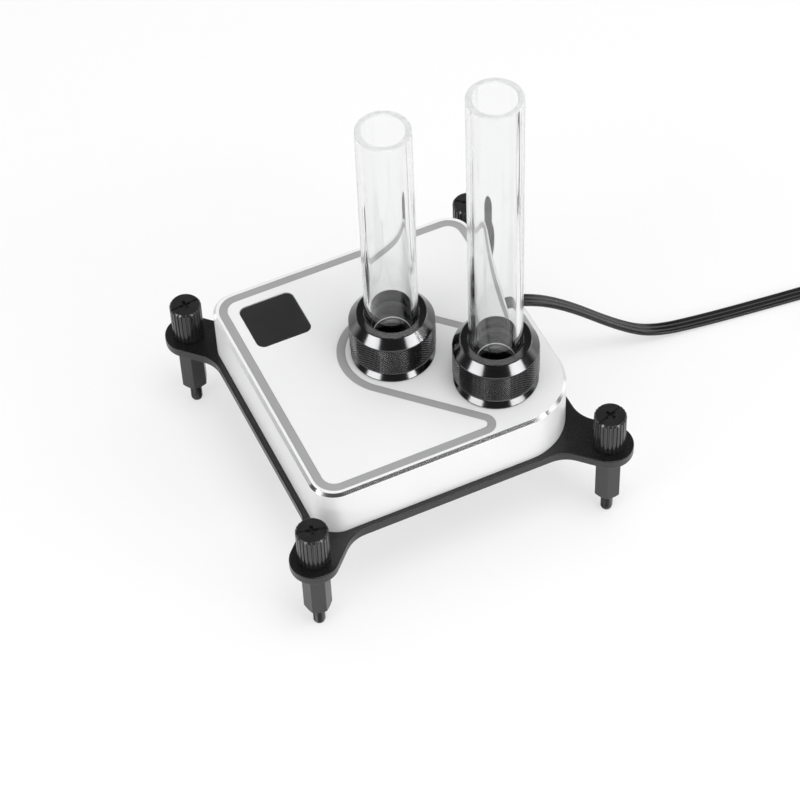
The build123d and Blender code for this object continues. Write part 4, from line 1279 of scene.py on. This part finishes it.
def photo_camera():
    """The camera that the photograph was solved to."""
    azimuth, elevation, roll = math.radians(-22.98), math.radians(50.32), math.radians(-2.58)
    level_way = Vector((math.sin(azimuth), -math.cos(azimuth), 0)) * math.cos(elevation)
    back = level_way + Vector((0, 0, math.sin(elevation)))
    right = Vector((math.cos(azimuth), math.sin(azimuth), 0))
    up = back.cross(right)
    level = math.cos(roll) * right + math.sin(roll) * up
    upright = -math.sin(roll) * right + math.cos(roll) * up
    lens = bpy.data.cameras.new("photo_camera")
    lens.lens = 124.60
    lens.sensor_width = 36.0
    lens.clip_start = 0.01
    camera = new_object("photo_camera", lens)
    turn = Matrix((level, upright, back)).transposed().to_4x4()
    camera.matrix_world = Matrix.Translation((-0.1700, -0.4037, 0.5479)) @ turn
    bpy.context.scene.camera = camera


class COOLING_OT_stage(bpy.types.Operator):
    """Pale floor, soft lamps and the photograph's camera"""

    bl_idname = "cooling.stage"
    bl_label = "Stage"

    def execute(self, context):
        light = context.scene.cooling_stage
        photo_camera()
        stage_floor()
        studio_room(light.sky)
        soft_box("right_soft_box", -62.5, 21.5, 0.9, 0.50, 0.18, light.box_power)
        soft_box("left_soft_box", -163.5, 21.5, 0.9, 0.50, 0.18, light.box_power)
        soft_box("top_light", -75, 76, 1.2, 0.5, 0.5, light.top_power)
        soft_box("side_light", -12, 25, 1.0, 0.9, 0.27, light.side_power)
        context.scene.view_settings.view_transform = "Standard"
        return {"FINISHED"}


class COOLING_PT_panel(bpy.types.Panel):
    """Sizes, colours and steps of the cooling block"""

    bl_idname = "COOLING_PT_panel"
    bl_label = "Cooling Block"
    bl_space_type = "VIEW_3D"
    bl_region_type = "UI"
    bl_category = "Cooling Block"

    def draw(self, context):
        layout = self.layout
        for group in (context.scene.cooling_sizes, context.scene.cooling_colours, context.scene.cooling_stage):
            for name in group.bl_rna.properties.keys():
                if name not in ("rna_type", "name"):
                    layout.prop(group, name)
        for step in STEPS:
            layout.operator(step.bl_idname)


STEPS = [
    COOLING_OT_stage,
    COOLING_OT_finishes,
    COOLING_OT_lead,
    COOLING_OT_cover,
    COOLING_OT_light_guide,
    COOLING_OT_badge,
    COOLING_OT_bracket,
    COOLING_OT_standoffs,
    COOLING_OT_thumb_screws,
    COOLING_OT_fittings,
    COOLING_OT_tubes,
]
GROUPS = {
    "cooling_sizes": CoolingBlockSizes,
    "cooling_colours": CoolingBlockColours,
    "cooling_stage": CoolingBlockStage,
}


def register():
    for kind in list(GROUPS.values()) + STEPS + [COOLING_PT_panel]:
        bpy.utils.register_class(kind)
    for name, kind in GROUPS.items():
        setattr(bpy.types.Scene, name, bpy.props.PointerProperty(type=kind))


def unregister():
    for name in GROUPS:
        delattr(bpy.types.Scene, name)
    for kind in reversed(list(GROUPS.values()) + STEPS + [COOLING_PT_panel]):
        bpy.utils.unregister_class(kind)


def main():
    register()
    bpy.ops.cooling.stage()
    bpy.ops.cooling.finishes()
    bpy.ops.cooling.lead()
    bpy.ops.cooling.cover()
    bpy.ops.cooling.light_guide()
    bpy.ops.cooling.badge()
    bpy.ops.cooling.bracket()
    bpy.ops.cooling.standoffs()
    bpy.ops.cooling.thumb_screws()
    bpy.ops.cooling.fittings()
    bpy.ops.cooling.tubes()


if __name__ == "__main__":
    main()
